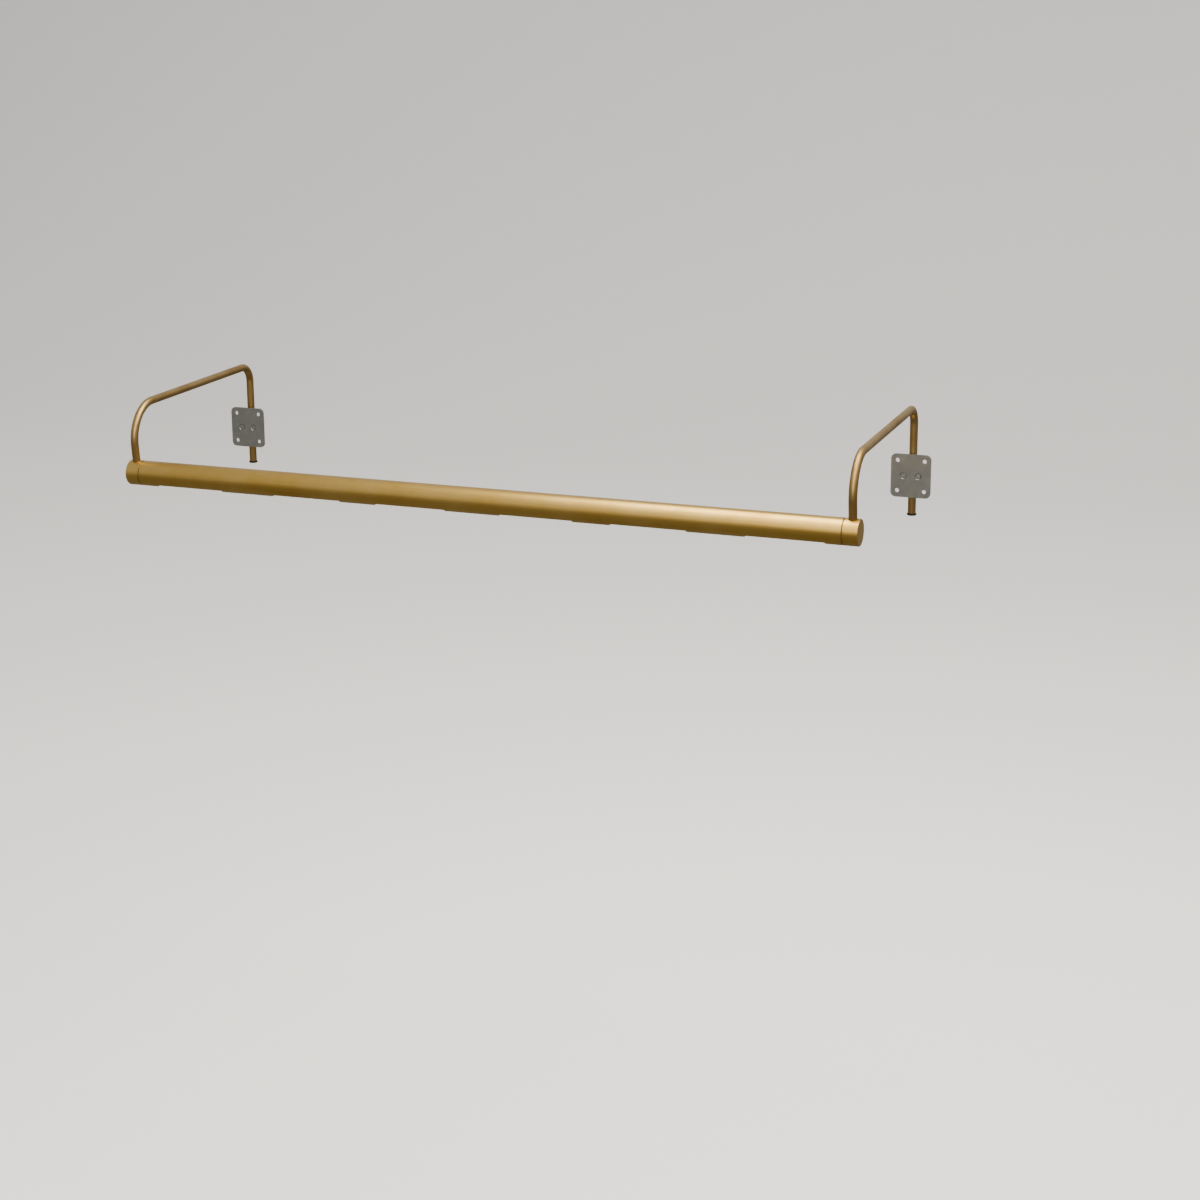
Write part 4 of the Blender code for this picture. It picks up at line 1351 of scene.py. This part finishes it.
    def build_washer(self, side: int) -> None:
        """Makes the washer between cap and tube.

        Args:
            side: 1 for the right cap, -1 for the left one.
        """
        node = f"{self.label}_swivel_washer"
        low, high, centre = frame_box(node)
        outer, half = (high.y - low.y) / 2, (high.x - low.x) / 2
        inner = outer - self.washer_width
        profile = [(outer, half), (outer, -half), (inner, -half), (inner, half)]
        ring = lathe(profile, along((side, 0, 0), centre), TURNED_STEPS, ring=True)
        washer = new_object(f"{self.label}_slip_washer", ring)
        dress(washer, BRONZE_PTFE, "arm_set", [node])


@dataclass
class Arm:
    """One bent rod and the piece in its foot.

    Attributes:
        label: left or right.
        lean: How far the front leg leans forward.
        front_bend: Centreline radius of the bend over the shade.
        rear_bend: Centreline radius of the bend over the picture frame.
        wall: The rod's wall.
        seat: Distance of the rod's hidden end from the shade's axis.
        lead_turn: Radius of the lead's turn inside the cap.
        flange_width: How far the foot piece's flange stands out from its shank.
        flange_height: That flange's thickness.
        inlet: Radius of the bushing's hole.
        foot_edge: Radius on the foot piece's edges.
        rod_steps: Segments round the rod.
        lead_steps: Segments round the lead.
    """

    label: str
    lean: float = ARM_LEAN
    front_bend: float = 36.6 * MM
    rear_bend: float = 18.0 * MM
    wall: float = 1.0 * MM
    seat: float = 5.7 * MM
    lead_turn: float = 3.1 * MM
    flange_width: float = 2.0 * MM
    flange_height: float = 1.7 * MM
    inlet: float = 1.9 * MM
    foot_edge: float = 0.3 * MM
    rod_steps: int = 48
    lead_steps: int = 20

    def corners(self, start: float) -> list[Vector]:
        """The rod's centreline corners, from the cap to the foot.

        Args:
            start: Distance of the first point from the shade's axis, up the leaning leg.

        Returns:
            Four points, read from the frame's arm.
        """
        low, high, centre = frame_box(f"{self.label}_arm")
        radius = (high.x - low.x) / 2
        top, rear = high.z - radius, high.y - radius
        rise = top - AXIS.z
        sine, cosine, tangent = math.sin(self.lean), math.cos(self.lean), math.tan(self.lean)
        return [
            Vector((centre.x, AXIS.y - sine * start, AXIS.z + cosine * start)),
            Vector((centre.x, AXIS.y - tangent * rise, top)),
            Vector((centre.x, rear, top)),
            Vector((centre.x, rear, low.z)),
        ]

    def build(self) -> None:
        """Makes the bent rod, its foot piece and, on the right, the lead inside it."""
        node = f"{self.label}_arm"
        low, high, _ = frame_box(node)
        bends = [0.0, self.front_bend, self.rear_bend, 0.0]
        rod = path_object(f"{self.label}_bent_rod", self.corners(self.seat), bends)
        rod_tree((high.x - low.x) / 2, self.rod_steps, False, BRASS_ROD).apply(rod)
        form = bmesh.new()
        form.from_mesh(rod.data)
        bmesh.ops.recalc_face_normals(form, faces=form.faces)
        form.to_mesh(rod.data)
        form.free()
        solid = rod.modifiers.new("wall", "SOLIDIFY")
        solid.thickness, solid.offset = self.wall, -1.0
        settle(rod)
        dress(rod, BRASS_ROD, "arm_set", [node])
        self.build_foot()
        if self.label == "right":
            self.build_lead()

    def build_lead(self) -> None:
        """Makes the lead, from the spigot round the turn in the cap to just below the foot."""
        low, high, _ = frame_box("arm_lead")
        path = self.corners(0.0)
        start = Vector((low.x, AXIS.y, AXIS.z))
        path[-1].z = low.z
        radius = high.x - path[0].x
        bends = [0.0, self.lead_turn, self.front_bend, self.rear_bend, 0.0]
        lead = path_object("feed_lead", [start, *path], bends)
        rod_tree(radius, self.lead_steps, True, BLACK_JACKET).apply(lead)
        dress(lead, BLACK_JACKET, "arm_set", ["arm_lead"])

    def build_foot(self) -> None:
        """Makes the plug of the left arm or the bushing of the right one."""
        hollow = self.label == "right"
        node = "cord_inlet_bushing" if hollow else "left_arm_plug"
        low, high, centre = frame_box(node)
        flange = (high.x - low.x) / 2
        shank = flange - self.flange_width
        step = low.z + self.flange_height
        profile = [(shank, high.z), (shank, step), (flange, step), (flange, low.z)]
        if hollow:
            profile += [(self.inlet, low.z), (self.inlet, high.z)]
        else:
            profile = [(0.0, high.z), *profile, (0.0, low.z)]
        place = along((0, 0, 1), (centre.x, centre.y, 0))
        form = lathe(rounded(profile, self.foot_edge), place, SMALL_STEPS, ring=hollow)
        foot = new_object("cord_bushing" if hollow else "foot_plug", form)
        dress(foot, BLACK_RUBBER, "arm_set", [node])


@dataclass
class Bracket:
    """One bracket: plate, clamp block and knurled thumb screw.

    Attributes:
        label: left or right.
        corner: The plate's corner radius.
        hole_inset: Distance of its screw holes from its edges.
        hole_radius: Their radius.
        plate_edge: The break on the plate's edges.
        sink_radius: Radius of the countersinks for the block's screws.
        shank_hole: Radius of those screws' holes.
        block_edge: The break on the block's edges.
        rod_gap: Gap round the rod in the block.
        thumb_hole: How deep the thumb screw's hole starts in the block, from its rear face.
        thumb_shank: Radius of the thumb screw's shank.
        thumb_edge: Radius on the thumb screw's edges.
        head_length: Length of its head.
        collar_length: Length of the collar below the head.
        collar: The collar's radius.
        dish_depth: Depth of the dish in the head's end.
        dish: The dish's radius at its floor and at its rim, as shares of the head's.
        ribs: Ribs in the knurl.
        rib_radius: A rib's radius.
        rib_margin: How much shorter than the head a rib is.
    """

    label: str
    corner: float = 5.0 * MM
    hole_inset: float = 6.5 * MM
    hole_radius: float = 2.2 * MM
    plate_edge: float = 0.25 * MM
    sink_radius: float = 3.3 * MM
    shank_hole: float = 1.9 * MM
    block_edge: float = 0.8 * MM
    rod_gap: float = 0.3 * MM
    thumb_hole: float = 4.0 * MM
    thumb_shank: float = 2.0 * MM
    thumb_edge: float = 0.35 * MM
    head_length: float = 7.0 * MM
    collar_length: float = 2.5 * MM
    collar: float = 3.6 * MM
    dish_depth: float = 0.4 * MM
    dish: Point2 = (0.55, 0.62)
    ribs: int = 40
    rib_radius: float = 0.32 * MM
    rib_margin: float = 1.2 * MM

    def build(self) -> None:
        """Makes the bracket's pieces."""
        self.build_plate()
        self.build_block()
        self.build_thumb_screw()

    def build_plate(self) -> None:
        """Makes the plate, with rounded corners, four screw holes and two countersinks."""
        node = f"{self.label}_bracket_plate"
        low, high, centre = frame_box(node)
        half_x, half_z = (high.x - low.x) / 2, (high.z - low.z) / 2
        thick = high.y - low.y
        form = bmesh.new()
        steps = 8
        outline = []
        for sx, sz, turn in ((1, 1, 0), (-1, 1, 90), (-1, -1, 180), (1, -1, 270)):
            for k in range(steps + 1):
                angle = math.radians(turn + 90 * k / steps)
                x = centre.x + sx * (half_x - self.corner) + self.corner * math.cos(angle)
                z = centre.z + sz * (half_z - self.corner) + self.corner * math.sin(angle)
                outline.append(form.verts.new((x, low.y, z)))
        sheet = form.faces.new(outline)
        raised = bmesh.ops.extrude_face_region(form, geom=[sheet])["geom"]
        moved = [item for item in raised if isinstance(item, bmesh.types.BMVert)]
        bmesh.ops.translate(form, verts=moved, vec=(0, thick, 0))
        bmesh.ops.recalc_face_normals(form, faces=form.faces)
        plate = new_object(f"{self.label}_back_plate", form)
        tools = []
        for sx in (-1, 1):
            for sz in (-1, 1):
                x, z = centre.x + sx * (half_x - self.hole_inset), centre.z + sz * (half_z - self.hole_inset)
                tools.append(drill(self.hole_radius, 2 * thick, -thick, along((0, 1, 0), (x, low.y, z))))
        sink, shank = self.sink_radius, self.shank_hole
        cone = [
            (0.0, thick),
            (sink + thick, thick),
            (sink, 0.0),
            (shank, shank - sink),
            (shank, -2 * thick),
            (0.0, -2 * thick),
        ]
        for name in ("inner", "outer"):
            screw = frame_box(f"{self.label}_block_screw_{name}")[2]
            tools.append(lathe(cone, along((0, -1, 0), (screw.x, low.y, screw.z)), SMALL_STEPS))
        cut(plate, tools)
        soften(plate, self.plate_edge)
        dress(plate, STEEL_PLATE, "brackets", [node])

    def build_block(self) -> None:
        """Makes the clamp block, bored for the rod and the thumb screw."""
        node = f"{self.label}_clamp_block"
        low, high, centre = frame_box(node)
        form = bmesh.new()
        place = Matrix.Translation(centre) @ Matrix.Diagonal((*(high - low), 1.0))
        bmesh.ops.create_cube(form, size=1.0, matrix=place)
        block = soften(new_object(f"{self.label}_milled_block", form), self.block_edge, 4)
        rod_low, rod_high, _ = frame_box(f"{self.label}_arm")
        radius = (rod_high.x - rod_low.x) / 2
        reach = high.z - low.z
        leg = along((0, 0, 1), (centre.x, rod_high.y - radius, centre.z))
        thumb = along((0, 1, 0), (centre.x, high.y, centre.z))
        cut(block, [
            drill(radius + self.rod_gap, reach, -reach, leg, FINE_STEPS),
            drill(self.thumb_shank + self.rod_gap, reach, -self.thumb_hole, thumb, FINE_STEPS),
        ])
        dress(block, BRASS_BLOCK, "brackets", [node])

    def build_thumb_screw(self) -> None:
        """Makes the thumb screw: a turned body and a ring of ribs round its head."""
        node = f"{self.label}_thumb_screw"
        low, high, centre = frame_box(node)
        head = (high.x - low.x) / 2 - self.rib_radius
        top = (high.y - low.y) / 2
        dish_floor, dish_rim = self.dish
        head_low = top - self.head_length
        collar_low = head_low - self.collar_length
        profile = [
            (0.0, top - self.dish_depth),
            (head * dish_floor, top - self.dish_depth),
            (head * dish_rim, top),
            (head, top),
            (head, head_low),
            (self.collar, head_low),
            (self.collar, collar_low),
            (self.thumb_shank, collar_low),
            (self.thumb_shank, -top),
            (0.0, -top),
        ]
        turned = lathe(rounded(profile, self.thumb_edge), Matrix(), FINE_STEPS)
        screw = new_object(f"{self.label}_knurled_screw", turned)
        middle = (top + head_low) / 2
        screw.data.transform(Matrix.Translation((0, 0, -middle)))
        rib_tree(head, self.ribs, self.head_length - self.rib_margin, self.rib_radius).apply(screw)
        screw.data.transform(along((0, 1, 0), centre) @ Matrix.Translation((0, 0, middle)))
        dress(screw, BRASS_TURNED, f"{self.label}_thumb", [node])


@dataclass
class Lamp:
    """One tubular lamp in its lampholder.

    Heights are along the lamp's own axis, from the holder towards the glass.

    Attributes:
        number: The lamp's number, from the left.
        glass_wall: Thickness of the glass.
        neck: Length of the glass's cone down to the base.
        neck_gap: How much slimmer than the base the glass is where it enters it.
        dome: Height of the rounded tip, as a share of the glass's radius.
        thread_pitch: Distance between the thread's ridges.
        thread_depth: Height of a ridge.
        plain_top: Plain length above the thread.
        plain_foot: Length of the cone below it.
        coil_margins: Distance of the coil's lower and upper end from the filament's own ends.
        turns: Turns in the coil.
        coil: The coil's radius.
        coil_wire: Radius of the coiled wire.
        support_spread: Distance of the supports from the axis.
        support_wire: Radius of a support.
        support_knee: Height of the knee in a support, from its foot.
        support_bend: How far below its end a support bends to the coil.
        holder_wall: The lampholder's wall.
        holder_gap: Gap round the base in the lampholder.
        holder_floor: Height of the floor in its mouth.
        holder_step: Height of its wide part.
        holder_edge: Radius on its edges.
        side: 1 where the lamp points to +X, -1 where it points to -X.
        place: Its axis.
    """

    number: int
    glass_wall: float = 0.8 * MM
    neck: float = 4.5 * MM
    neck_gap: float = 0.3 * MM
    dome: float = 0.6
    thread_pitch: float = 1.7 * MM
    thread_depth: float = 0.35 * MM
    plain_top: float = 2.0 * MM
    plain_foot: float = 3.0 * MM
    coil_margins: Point2 = (14.0 * MM, 3.0 * MM)
    turns: float = 44.0
    coil: float = 0.5 * MM
    coil_wire: float = 0.13 * MM
    support_spread: float = 2.4 * MM
    support_wire: float = 0.22 * MM
    support_knee: float = 5.0 * MM
    support_bend: float = 2.0 * MM
    holder_wall: float = 0.7 * MM
    holder_gap: float = 0.4 * MM
    holder_floor: float = 5.0 * MM
    holder_step: float = 9.0 * MM
    holder_edge: float = 0.35 * MM
    side: int = field(init=False)
    place: Matrix = field(init=False)

    def __post_init__(self) -> None:
        """Reads from the frame which way the lamp points and where its axis is."""
        glass = frame_box(f"lamp_glass_{self.number}")[2]
        holder = frame_box(f"lampholder_{self.number}")[2]
        self.side = 1 if glass.x > holder.x else -1
        self.place = along((self.side, 0, 0), (0, glass.y, glass.z))

    def build(self) -> None:
        """Makes the glass, the base, the filament and the lampholder."""
        self.build_glass()
        self.build_base()
        self.build_filament()
        self.build_holder()

    def reach(self, node: str) -> tuple[float, float, float]:
        """Where one of the lamp's frame nodes is.

        Args:
            node: The node's name.

        Returns:
            Its lower and upper height and its radius.
        """
        low, high, _ = frame_box(node)
        foot, tip = sorted(self.side * x for x in (low.x, high.x))
        return foot, tip, (high.y - low.y) / 2

    def build_glass(self) -> None:
        """Makes the glass: a thin tube with a rounded tip, drawn in to the base."""
        node = f"lamp_glass_{self.number}"
        low, tip, radius = self.reach(node)
        neck = self.reach(f"lamp_base_{self.number}")[2] - self.neck_gap
        dome = radius * self.dome
        steps = 12

        def skin(inset: float) -> list[Point2]:
            """The glass's outline, from the tip.

            Args:
                inset: How far the outline lies inside the outer skin.

            Returns:
                Its (radius, height) points.
            """
            centre = tip - inset - dome
            angles = [math.pi / 2 * k / steps for k in range(steps + 1)]
            crown = [((radius - inset) * math.sin(a), centre + dome * math.cos(a)) for a in angles]
            return [*crown, (radius - inset, low + self.neck), (neck - inset, low)]

        form = lathe([*skin(0.0), *reversed(skin(self.glass_wall))], self.place, FINE_STEPS)
        dress(new_object(f"lamp_envelope_{self.number}", form), CLEAR_GLASS, "shade", [node])

    def build_base(self) -> None:
        """Makes the screw base with its rolled thread drawn as round ridges."""
        node = f"lamp_base_{self.number}"
        low, high, radius = self.reach(node)
        pitch, depth = self.thread_pitch, self.thread_depth
        quarters = 4
        ridges = int((high - low - 2 * self.plain_foot) / pitch)
        profile = [(0.0, high), (radius, high)]
        for k in range(ridges * quarters):
            level = high - self.plain_top - k * pitch / quarters
            profile.append((radius - depth * (0.5 + 0.5 * math.cos(math.pi / 2 * k)), level))
        profile += [(radius - depth, low + self.plain_foot), (radius / 2, low), (0.0, low)]
        base = new_object(f"lamp_screw_base_{self.number}", lathe(profile, self.place, SMALL_STEPS))
        dress(base, BRASS_CAP, "shade", [node])

    def build_filament(self) -> None:
        """Makes the coiled filament down the middle of the glass, and its two supports."""
        node = f"lamp_filament_{self.number}"
        foot, tip, _ = self.reach(node)
        start, end = foot + self.coil_margins[0], tip - self.coil_margins[1]
        coil = path_object(f"lamp_coil_{self.number}", [(0, 0, 0), (0, 0, WELD)])
        coil_tree(self.turns, self.coil, end - start, self.coil_wire).apply(coil)
        coil.data.transform(Matrix.Translation((0, 0, start)))
        form = bmesh.new()
        form.from_mesh(coil.data)
        for x, top in ((-self.support_spread, start), (self.support_spread, end)):
            knee, bend = foot + self.support_knee, top - self.support_bend
            line = [Vector((x, 0, foot)), Vector((x, 0, knee)), Vector((x, 0, bend)), Vector((0, 0, top))]
            for a, b in zip(line, line[1:]):
                bmesh.ops.create_cone(
                    form,
                    cap_ends=True,
                    segments=10,
                    radius1=self.support_wire,
                    radius2=self.support_wire,
                    depth=(b - a).length,
                    matrix=along(b - a, (a + b) / 2),
                )
        form.to_mesh(coil.data)
        form.free()
        coil.data.transform(self.place)
        dress(coil, TUNGSTEN, "shade", [node])

    def build_holder(self) -> None:
        """Makes the moulded lampholder with a rounded mouth."""
        node = f"lampholder_{self.number}"
        low, high, radius = self.reach(node)
        bore = self.reach(f"lamp_base_{self.number}")[2] + self.holder_gap
        neck = bore + self.holder_wall
        floor, step = low + self.holder_floor, low + self.holder_step
        profile = [
            (0.0, floor),
            (bore, floor),
            (bore, high),
            (radius, high),
            (radius, step),
            (neck, step),
            (neck, low),
            (0.0, low),
        ]
        form = lathe(rounded(profile, self.holder_edge), self.place, FINE_STEPS)
        holder = new_object(f"moulded_holder_{self.number}", form)
        dress(holder, BLACK_PHENOLIC, "shade", [node])


class Head(Enum):
    """The kinds of slotted screw."""

    CHEESE = "cheese"
    COUNTERSUNK = "countersunk"
    GRUB = "grub"


@dataclass
class ScrewSet:
    """Slotted screws of one kind on one body, made as one piece.

    Attributes:
        name: The piece's name.
        nodes: The frame's screws.
        facing: The way their heads face.
        body: The body they ride on.
        slot: Name of a material slot; not used.
        finish: Their finish.
        kind: Their head.
        head: The head's radius.
        head_height: The head's height.
        shank: The shank's radius.
        length: The whole length.
        slot_width: Width of the driver slot.
        slot_depth: Its depth.
        break_edge: Radius on the edges.
    """

    name: str
    nodes: list[str]
    facing: Vector
    body: str
    slot: str
    finish: Finish
    kind: Head
    head: float
    head_height: float
    shank: float
    length: float
    slot_width: float = 0.7 * MM
    slot_depth: float = 0.6 * MM
    break_edge: float = 0.2 * MM

    def pattern(self) -> bpy.types.Object:
        """One screw about local Z, with the top of its head at the origin.

        Returns:
            The screw, with its driver slot cut.
        """
        under = {
            Head.CHEESE: [(self.head, -self.head_height), (self.shank, -self.head_height)],
            Head.COUNTERSUNK: [(self.shank, -self.head_height)],
            Head.GRUB: [],
        }[self.kind]
        outline = [(0.0, 0.0), (self.head, 0.0), *under, (self.shank, -self.length), (0.0, -self.length)]
        screw = new_object("screw", lathe(rounded(outline, self.break_edge, 2), Matrix(), SMALL_STEPS))
        form = bmesh.new()
        slot = Matrix.Diagonal((3 * self.head, self.slot_width, 2 * self.slot_depth, 1.0))
        bmesh.ops.create_cube(form, size=1.0, matrix=slot)
        return cut(screw, [form])

    def build(self) -> None:
        """Makes the set by putting a screw at each of the frame's places."""
        mesh = bpy.data.meshes.new(self.name)
        mesh.from_pydata([tuple(self.head_of(node)) for node in self.nodes], [], [])
        facing = mesh.attributes.new("facing", "FLOAT_VECTOR", "POINT")
        facing.data.foreach_set("vector", list(self.facing) * len(self.nodes))
        made = link_new(self.name, mesh)
        pattern = self.pattern()
        scatter_tree(pattern, self.finish).apply(made)
        bpy.data.objects.remove(pattern)
        dress(made, self.finish, self.body, self.nodes)

    def head_of(self, node: str) -> Vector:
        """The top of a frame screw's head.

        Args:
            node: The screw's name.

        Returns:
            The point where its axis leaves its outermost end.
        """
        centre = frame_box(node)[2]
        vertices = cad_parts[node].data.vertices
        return centre + self.facing * max((vertex.co - centre).dot(self.facing) for vertex in vertices)


# Studio


@dataclass(frozen=True)
class SoftBox:
    """A warm white soft box that faces the line of the shade.

    Attributes:
        name: The light's name.
        stand: Where it stands, from the middle of the shade.
        size: Its width and height.
        radiance: How bright its face is.
        gloss: False where reflections are to leave it out.
        colour: Colour of its light.
    """

    name: str
    stand: Point3
    size: Point2
    radiance: float
    gloss: bool = True
    colour: str = "fffaf2"

    def build(self) -> None:
        """Makes the light."""
        width, height = self.size
        data = bpy.data.lights.new(self.name, "AREA")
        data.shape, data.size, data.size_y = "RECTANGLE", width, height
        data.energy, data.color = self.radiance * math.pi * width * height, linear(self.colour)[:3]
        light = link_new(self.name, data)
        light.location = AXIS + Vector(self.stand)
        light.rotation_euler = (-Vector((0, *self.stand[1:]))).to_track_quat("-Z", "Y").to_euler()
        light.visible_camera = False
        light.visible_glossy = self.gloss


# Two boxes over the right half, one in front of it and one that only lights the floor.
SOFT_BOXES = (
    SoftBox("wide", (0.55, -0.2, 1.2), (1.7, 2.0), 1.8),
    SoftBox("core", (0.28, 0.1, 1.1), (1.0, 0.9), 3.1),
    SoftBox("front", (0.65, -3.0, 1.35), (2.0, 1.9), 2.3),
    SoftBox("backdrop", (0.0, 0.8, 3.4), (6.0, 5.0), 1.0, gloss=False),
)


@dataclass
class Studio:
    """The camera, the pale floor, the soft lights and the light from all round.

    Attributes:
        eye: The camera's place from the middle of the shade's axis.
        right: The camera's right, as a direction.
        down: The camera's down.
        lens_mm: Focal length.
        sensor_mm: Width of the sensor.
        shift: The lens shift that frames the object off centre.
        clip: The nearest and the farthest distance that the camera sees.
        floor_drop: How far the floor lies below the shade.
        floor_half: Half the floor's width.
        floor_ends: Where it starts in front and where it stands behind, along Y.
        floor_bend: Radius of the curve where it turns up.
        floor_rise: How high it goes up.
        sky: Colour of the light from all round above.
        ground: Colour of the light from below.
        horizon: Height of a direction, as its sine, where the ground's colour ends and the sky's starts.
    """

    eye: Vector = field(default_factory=lambda: Vector((0.8547, -1.9710, 0.5262)))
    right: Vector = field(default_factory=lambda: Vector((0.923845, 0.382443, -0.015723)))
    down: Vector = field(default_factory=lambda: Vector((0.077110, -0.226191, -0.971026)))
    lens_mm: float = 68.773
    sensor_mm: float = 36.0
    shift: Point2 = (0.0822, -0.0824)
    clip: Point2 = (0.05, 50.0)
    floor_drop: float = 0.62
    floor_half: float = 14.0
    floor_ends: Point2 = (-12.0, 5.0)
    floor_bend: float = 2.5
    floor_rise: float = 10.0
    sky: str = "b8b8b8"
    ground: str = "817e76"
    horizon: Point2 = (-0.35, 0.4)

    def build(self) -> None:
        """Makes the studio."""
        self.build_camera()
        self.build_floor()
        for box in SOFT_BOXES:
            box.build()
        self.build_world()

    def build_camera(self) -> None:
        """Makes the camera."""
        data = bpy.data.cameras.new("camera")
        data.lens, data.sensor_width = self.lens_mm, self.sensor_mm
        data.shift_x, data.shift_y = self.shift
        data.clip_start, data.clip_end = self.clip
        camera = link_new("camera", data)
        ahead = self.right.cross(self.down)
        turn = Matrix((self.right, -self.down, -ahead)).transposed().to_4x4()
        camera.matrix_world = Matrix.Translation(AXIS + self.eye) @ turn
        bpy.context.scene.camera = camera
        log.info("camera looks along %s", tuple(round(v, 3) for v in ahead))

    def build_floor(self) -> None:
        """Makes a pale floor that curves up behind the object."""
        form = bmesh.new()
        level = AXIS.z - self.floor_drop
        (front, back), bend = self.floor_ends, self.floor_bend
        steps = 24
        angles = [math.pi / 2 * k / steps for k in range(steps + 1)]
        curve = [(back - bend + bend * math.sin(a), level + bend - bend * math.cos(a)) for a in angles]
        outline = [(front, level), *curve, (back, level + self.floor_rise)]
        edges = (-self.floor_half, self.floor_half)
        rows = [[form.verts.new((x, y, z)) for y, z in outline] for x in edges]
        for k in range(len(outline) - 1):
            form.faces.new([rows[0][k], rows[1][k], rows[1][k + 1], rows[0][k + 1]])
        floor = new_object("pale_floor", form)
        tidy_normals(floor.data)
        floor.data.materials.append(MattPaper("matt_paper").material())
        floor.visible_glossy = False

    def build_world(self) -> None:
        """Makes an even pale sky over a darker ground, with a soft horizon, and sets the tone curve."""
        view = bpy.context.scene.view_settings
        view.view_transform, view.look = "AgX", "AgX - Medium High Contrast"
        world = bpy.data.worlds.new("studio")
        bpy.context.scene.world = world
        world.use_nodes = True
        tree = world.node_tree
        tree.nodes.clear()
        way = add_node(tree, "ShaderNodeTexCoord").outputs["Generated"]
        height = add_node(tree, "ShaderNodeSeparateXYZ", {"Vector": way}).outputs["Z"]
        low, high = self.horizon
        share = add_node(
            tree,
            "ShaderNodeMapRange",
            {"Value": height, "From Min": low, "From Max": high},
            interpolation_type="SMOOTHSTEP",
        ).outputs["Result"]
        colour = add_node(
            tree,
            "ShaderNodeMix",
            {"Factor": share, MIX_A: linear(self.ground), MIX_B: linear(self.sky)},
            data_type="RGBA",
        ).outputs[MIX_OUT]
        glow = add_node(tree, "ShaderNodeBackground", {"Color": colour, "Strength": 1.0})
        end = add_node(tree, "ShaderNodeOutputWorld")
        tree.links.new(glow.outputs["Background"], end.inputs["Surface"])


def build_screws() -> None:
    """Makes the screws of the shade, the caps and the brackets."""
    ScrewSet(
        name="shade_screws",
        nodes=["left_stop_screw", "right_stop_screw", "clip_screw_1", "clip_screw_2", "clip_screw_3"],
        facing=Vector((0, math.cos(SCREW_TILT), math.sin(SCREW_TILT))),
        body="shade",
        slot="satin_brass",
        finish=BRASS_TURNED,
        kind=Head.CHEESE,
        head=2.5 * MM,
        head_height=1.3 * MM,
        shank=1.25 * MM,
        length=4.6 * MM,
    ).build()
    ScrewSet(
        name="arm_grub_screws",
        nodes=["left_arm_grub_screw", "right_arm_grub_screw"],
        facing=Vector((0, math.cos(ARM_LEAN), math.sin(ARM_LEAN))),
        body="arm_set",
        slot="zinc_steel",
        finish=STEEL_SCREW,
        kind=Head.GRUB,
        head=1.5 * MM,
        head_height=0.0,
        shank=1.5 * MM,
        length=4.2 * MM,
    ).build()
    for label in ("left", "right"):
        ScrewSet(
            name=f"{label}_block_screws",
            nodes=[f"{label}_block_screw_inner", f"{label}_block_screw_outer"],
            facing=Vector((0, -1, 0)),
            body="brackets",
            slot="zinc_steel",
            finish=STEEL_SCREW,
            kind=Head.COUNTERSUNK,
            head=2.85 * MM,
            head_height=1.35 * MM,
            shank=1.5 * MM,
            length=8.8 * MM,
        ).build()


def repaint_hidden() -> None:
    """Gives the frame's own small inner pieces their finishes."""
    for number in (1, 2, 3):
        repaint(f"lampholder_clip_{number}", STEEL_PLATE)
    repaint("line_wire", BLACK_JACKET)
    repaint("neutral_wire", WHITE_JACKET)


def main() -> None:
    """Builds the picture light's pieces over the frame, then the studio."""
    shade = Shade()
    shade.build_tube()
    shade.build_tray()
    for label in ("left", "right"):
        EndCap(label).build()
        Arm(label).build()
        Bracket(label).build()
    for number in range(1, 7):
        Lamp(number).build()
    build_screws()
    repaint_hidden()
    Studio().build()


if __name__ == "__main__":
    logging.basicConfig(level=logging.INFO, format="%(name)s: %(message)s")
    main()
